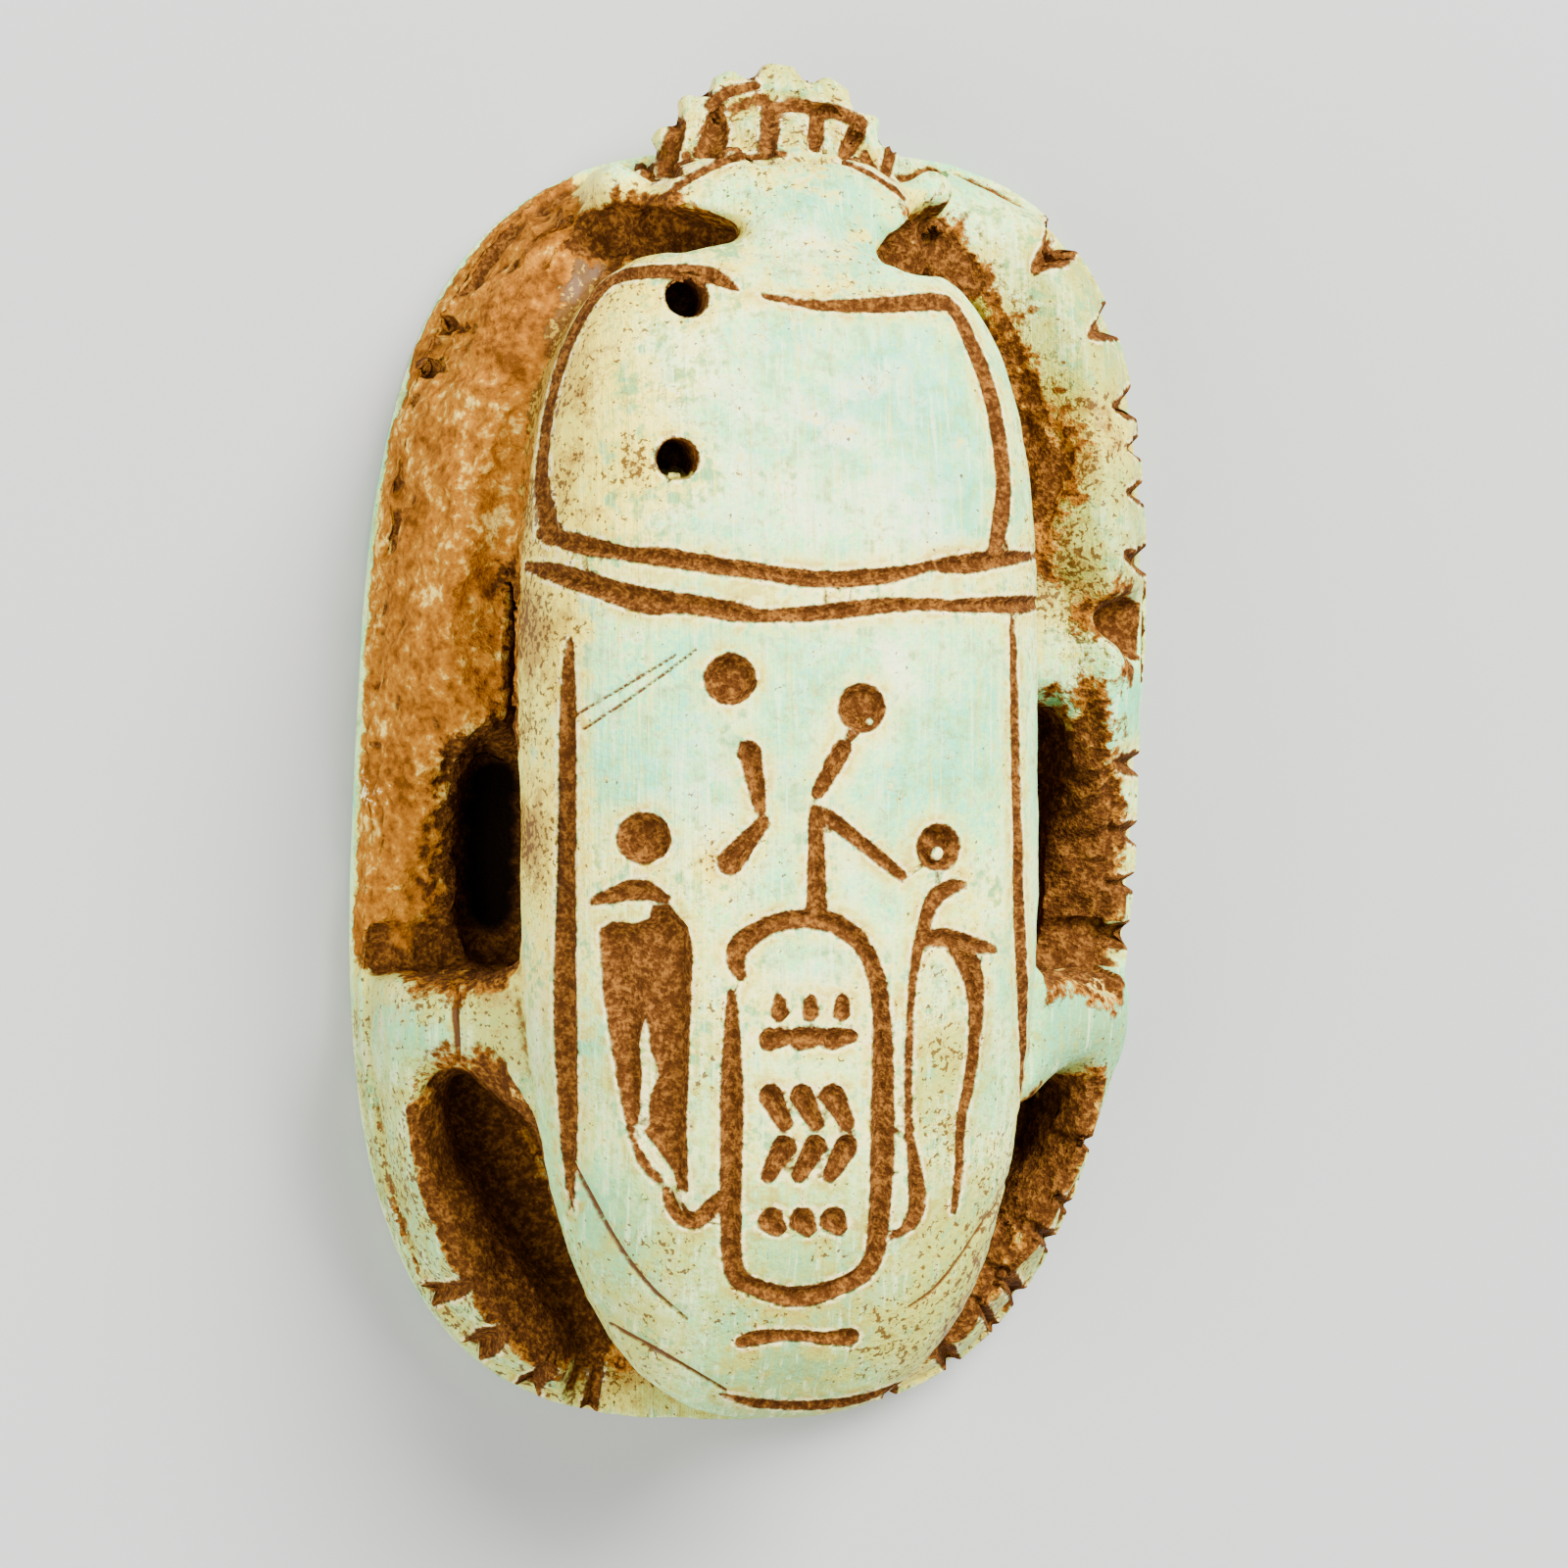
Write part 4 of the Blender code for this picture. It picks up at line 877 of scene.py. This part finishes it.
BRIGHT = (0.85, 0.97, 0.45)
MINT = (0.45, 0.96, 0.28)
AQUA = (0.15, 0.72, 0.36)
CREAM = (0.86, 0.84, 0.2)
GREEN_CREAM = (0.42, 0.5, 0.09)
WARM_STAIN = (0.92, 0.72, 0.06)
GREEN_STAIN = (0.46, 0.46, 0.06)
RUST = (0.32, 0.17, 0.014)
OLIVE = (0.24, 0.36, 0.1)
TEAL = (0.14, 0.42, 0.16)
PINK_WHITE = (0.97, 0.85, 0.6)
CHIP = (0.95, 0.85, 0.35)
PAINTED_SHADOW_BLACK = (0.006, 0.0025, 0.001)
EARTH_DARK = (0.055, 0.017, 0.003)
EARTH = (0.094, 0.032, 0.006)
EARTH_LIGHT = (0.22, 0.085, 0.013)
STONE_DARK = (0.12, 0.038, 0.004)
STONE = (0.27, 0.09, 0.006)
STONE_LIGHT = (0.42, 0.165, 0.01)
STONE_SPECK = (0.85, 0.62, 0.12)

finish = bpy.data.materials.new("worn_green_glaze")
finish.use_nodes = True
Wire.tree = finish.node_tree
shader = finish.node_tree.nodes["Principled BSDF"]


def greater(first, second):
    return Wire.node("ShaderNodeMath", {"operation": "MAXIMUM"}, {0: first, 1: second})


broad = grain(2.6, 4)
mottle = grain(0.9, 4)
fine = grain(0.3, 3)
dust = grain(0.12, 2)
brushed = grain(0.16, 3, stretch=(1, 16, 4))
scratched = grain(0.1, 1, stretch=(1, 40, 12))

# the glaze, from thin and creamy to thick and blue-green
tint = recorded("blue") - recorded("yellow") * 0.6 + 0.55 + (broad - 0.5) * 2.0 + (mottle - 0.5) * 1.2
tint = tint + (fine - 0.5) * 1.8 + (dust - 0.5) * 0.9 + (brushed - 0.5) * 0.6
glaze = ramp(tint, (0.0, GREEN_CREAM), (0.25, CREAM), (0.42, BRIGHT), (0.65, MINT), (1.0, AQUA))
# rubbed glaze turns pinkish white, and three small patches on the left thigh's edge paint a highlight line
# there
whitened_and_highlit = recorded("white") * rise(mottle, 0.42, 0.6)
glaze = blend(whitened_and_highlit, glaze, PINK_WHITE)
glaze = blend(rise(mottle * 0.5 + fine * 0.5, 0.55, 0.37) * 0.75, glaze, TEAL)
glaze = blend(rise(recorded("olive") + (mottle - 0.5) * 1.2 + (fine - 0.5), 0.1, 1.2), glaze, OLIVE)
glaze = blend(rise(brushed, 0.53, 0.66) * 0.5, glaze, BRIGHT)
glaze = blend(rise(brushed, 0.45, 0.3) * 0.5, glaze, GREEN_CREAM)
stain = blend(rise(recorded("olive"), 0.1, 0.5), WARM_STAIN, GREEN_STAIN)
glaze = blend(rise(scratched, 0.64, 0.7) * 0.45, glaze, stain)
# what soaked into it: yellow and brown stains, earth beside the cuts, crazing, specks and hairlines; the
# colour also turns browner along the foot of the body's wall, where it meets the legs
yellowed = recorded("yellow") * 0.8 + (1 - rise(recorded("beside_bare"), 0.0, 2.2)) * 0.8
yellowed = yellowed + recorded("crevice") * 4 + recorded("soiled") * 0.6 + recorded("foot") * 0.9
soil = yellowed + (mottle - 0.5) * 2.4 + (fine - 0.5) * 1.2 + (broad - 0.5)
glaze = blend(rise(soil, 0.35, 1.0) * 0.8, glaze, stain)
glaze = blend(rise(soil, 0.95, 1.7) * 0.85, glaze, RUST)
gap = recorded("cut") + (fine - 0.5) * 0.14 + (dust - 0.5) * 0.06
beside = 1 - rise(gap, 0.0, 0.7)
glaze = blend(beside * rise(mottle + fine, 0.8, 1.1) * 0.9, glaze, stain)
glaze = blend((1 - rise(gap, 0.0, 0.45)) * rise(mottle + fine, 0.95, 1.15) * 0.8, glaze, RUST)
glaze = blend((1 - rise(gap, 0.08, 0.2)) * rise(fine, 0.45, 0.55) * 0.8, glaze, CHIP)
veins = Wire.node("ShaderNodeMath", {"operation": "ABSOLUTE"}, {0: grain(1.1, 5) - 0.5})
glaze = blend((1 - rise(veins, 0.0, 0.012)) * rise(broad + yellowed * 0.3, 0.5, 0.7) * 0.7, glaze, RUST)
speckling = grain(0.18, 3) + recorded("soiled") * 0.15 + yellowed * 0.06 + (mottle - 0.5) * 0.3
specks = rise(speckling, 0.69, 0.73)
glaze = blend(specks * 0.9, glaze, EARTH)
hairs = (1 - rise(recorded("crack") + (fine - 0.5) * 0.06, 0.0, 0.05)) * rise(mottle, 0.3, 0.42)
glaze = blend(hairs, glaze, EARTH)

# the bare stone and the earth, and painted shadow deep in the left pocket
stone = ramp(
    (broad - 0.5) * 1.1 + (mottle - 0.5) * 1.0 + (fine - 0.5) * 1.3 + recorded("bleached") * 0.17 + 0.43,
    (0.15, STONE_DARK), (0.42, STONE), (0.66, STONE_LIGHT), (0.92, STONE_SPECK),
)
stone = blend(rise(recorded("chipped") + (fine - 0.5) * 2, 0.5, 0.7), stone, CHIP)
earth = ramp(
    (dust - 0.5) * 1.4 + (fine - 0.5) * 1.6 + 0.5,
    (0.25, EARTH_DARK), (0.5, EARTH), (0.8, EARTH_LIGHT),
)
# painted shadow: deep in the left pocket, under the body, the earth turns near black where shade falls
earth = blend(rise(recorded("gloom"), 0.45, 0.8), earth, PAINTED_SHADOW_BLACK)

# where each of them shows
bared = rise(recorded("bare") + (fine - 0.5) * 0.7 + (mottle - 0.5) * 1.4, 0.4, 0.6)
zone = recorded("earth_zone") + (fine - 0.5) * 1.6 + (mottle - 0.5) * 2.6
zoned = 1 - rise(zone, -0.15, 0.15)
edged = 1 - rise(zone, 0.1, 0.5)
packed = rise(recorded("crevice") + (fine - 0.5) * 0.12, 0.07, 0.12)
filled = 1 - rise(gap, 0.0, 0.07)
buried = greater(greater(zoned, filled), packed)
colour = blend(bared, blend(edged, glaze, stone), stone)
colour = blend(buried, colour, earth)
dull = greater(greater(buried, bared), edged)

lumps = fine * 0.6 + dust * 0.35 + mottle * 0.5
relief = blend(dull, brushed * 0.3 + dust * 0.12 + fine * 0.3 + scratched * 0.1, lumps)
bump = Wire.node("ShaderNodeBump", inputs={"Height": relief, "Distance": 0.2 * MM, "Strength": 1.0})
Wire.tree.links.new(colour.socket, shader.inputs["Base Color"])
Wire.tree.links.new((dull * 0.4 + 0.5).socket, shader.inputs["Roughness"])
Wire.tree.links.new(((1 - dull) * 0.15).socket, shader.inputs["Coat Weight"])
Wire.tree.links.new(bump.socket, shader.inputs["Normal"])
shader.inputs["Specular IOR Level"].default_value = 0.04
shader.inputs["Coat Roughness"].default_value = 0.35
skin.obj.data.materials.append(finish)

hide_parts("scarab")
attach(skin.obj, "root")


# The studio. A pale floor, a broad window light from the upper right and a weaker one from the left. The
# camera looks down from a little to the amulet's left.
VIEW_TILT = math.radians(8.5)
VIEW_DISTANCE = 160 * MM
VIEW_WIDTH = 46.4 * MM  # what the frame takes in at the amulet's underside
AIM = (1.25 * MM, -1.39 * MM)
view_x = Vector((math.cos(VIEW_TILT), 0, math.sin(VIEW_TILT)))
view_z = Vector((-math.sin(VIEW_TILT), 0, math.cos(VIEW_TILT)))
lens = bpy.data.cameras.new("camera")
lens.lens = lens.sensor_width * VIEW_DISTANCE / VIEW_WIDTH
camera = bpy.data.objects.new("camera", lens)
bpy.context.scene.collection.objects.link(camera)
aim = view_x * AIM[0] + Vector((0, 1, 0)) * AIM[1]
back_z = (view_z * VIEW_DISTANCE - aim).normalized()
right = Vector((0, 1, 0)).cross(back_z).normalized()
turned = Matrix((right, back_z.cross(right), back_z)).transposed().to_4x4()
camera.matrix_world = Matrix.Translation(view_z * VIEW_DISTANCE) @ turned
lens.clip_start = 0.01
bpy.context.scene.camera = camera


def soft_light(name, place, size, watts):
    lamp = bpy.data.lights.new(name, "AREA")
    lamp.size = size
    lamp.energy = watts
    light = bpy.data.objects.new(name, lamp)
    bpy.context.scene.collection.objects.link(light)
    light.location = place
    light.rotation_mode = "QUATERNION"
    light.rotation_quaternion = Vector(place).to_track_quat("Z", "Y")


soft_light("window", (0.16, 0.2, 0.3), 0.2, 6.2)
soft_light("fill", (-0.25, -0.1, 0.25), 0.3, 2.2)

world = bpy.data.worlds.new("world")
world.use_nodes = True
world.node_tree.nodes["Background"].inputs["Color"].default_value = (0.95, 0.96, 1.0, 1)
world.node_tree.nodes["Background"].inputs["Strength"].default_value = 0.75
bpy.context.scene.world = world

FLOOR_DROP = 0.05 * MM
bpy.ops.mesh.primitive_plane_add(size=2, location=(0, 0, -FLOOR_DROP))
floor = bpy.context.object
floor.name = "floor"
pale = bpy.data.materials.new("pale_floor")
pale.use_nodes = True
pale.node_tree.nodes["Principled BSDF"].inputs["Base Color"].default_value = (0.4, 0.4, 0.39, 1)
pale.node_tree.nodes["Principled BSDF"].inputs["Roughness"].default_value = 0.9
floor.data.materials.append(pale)
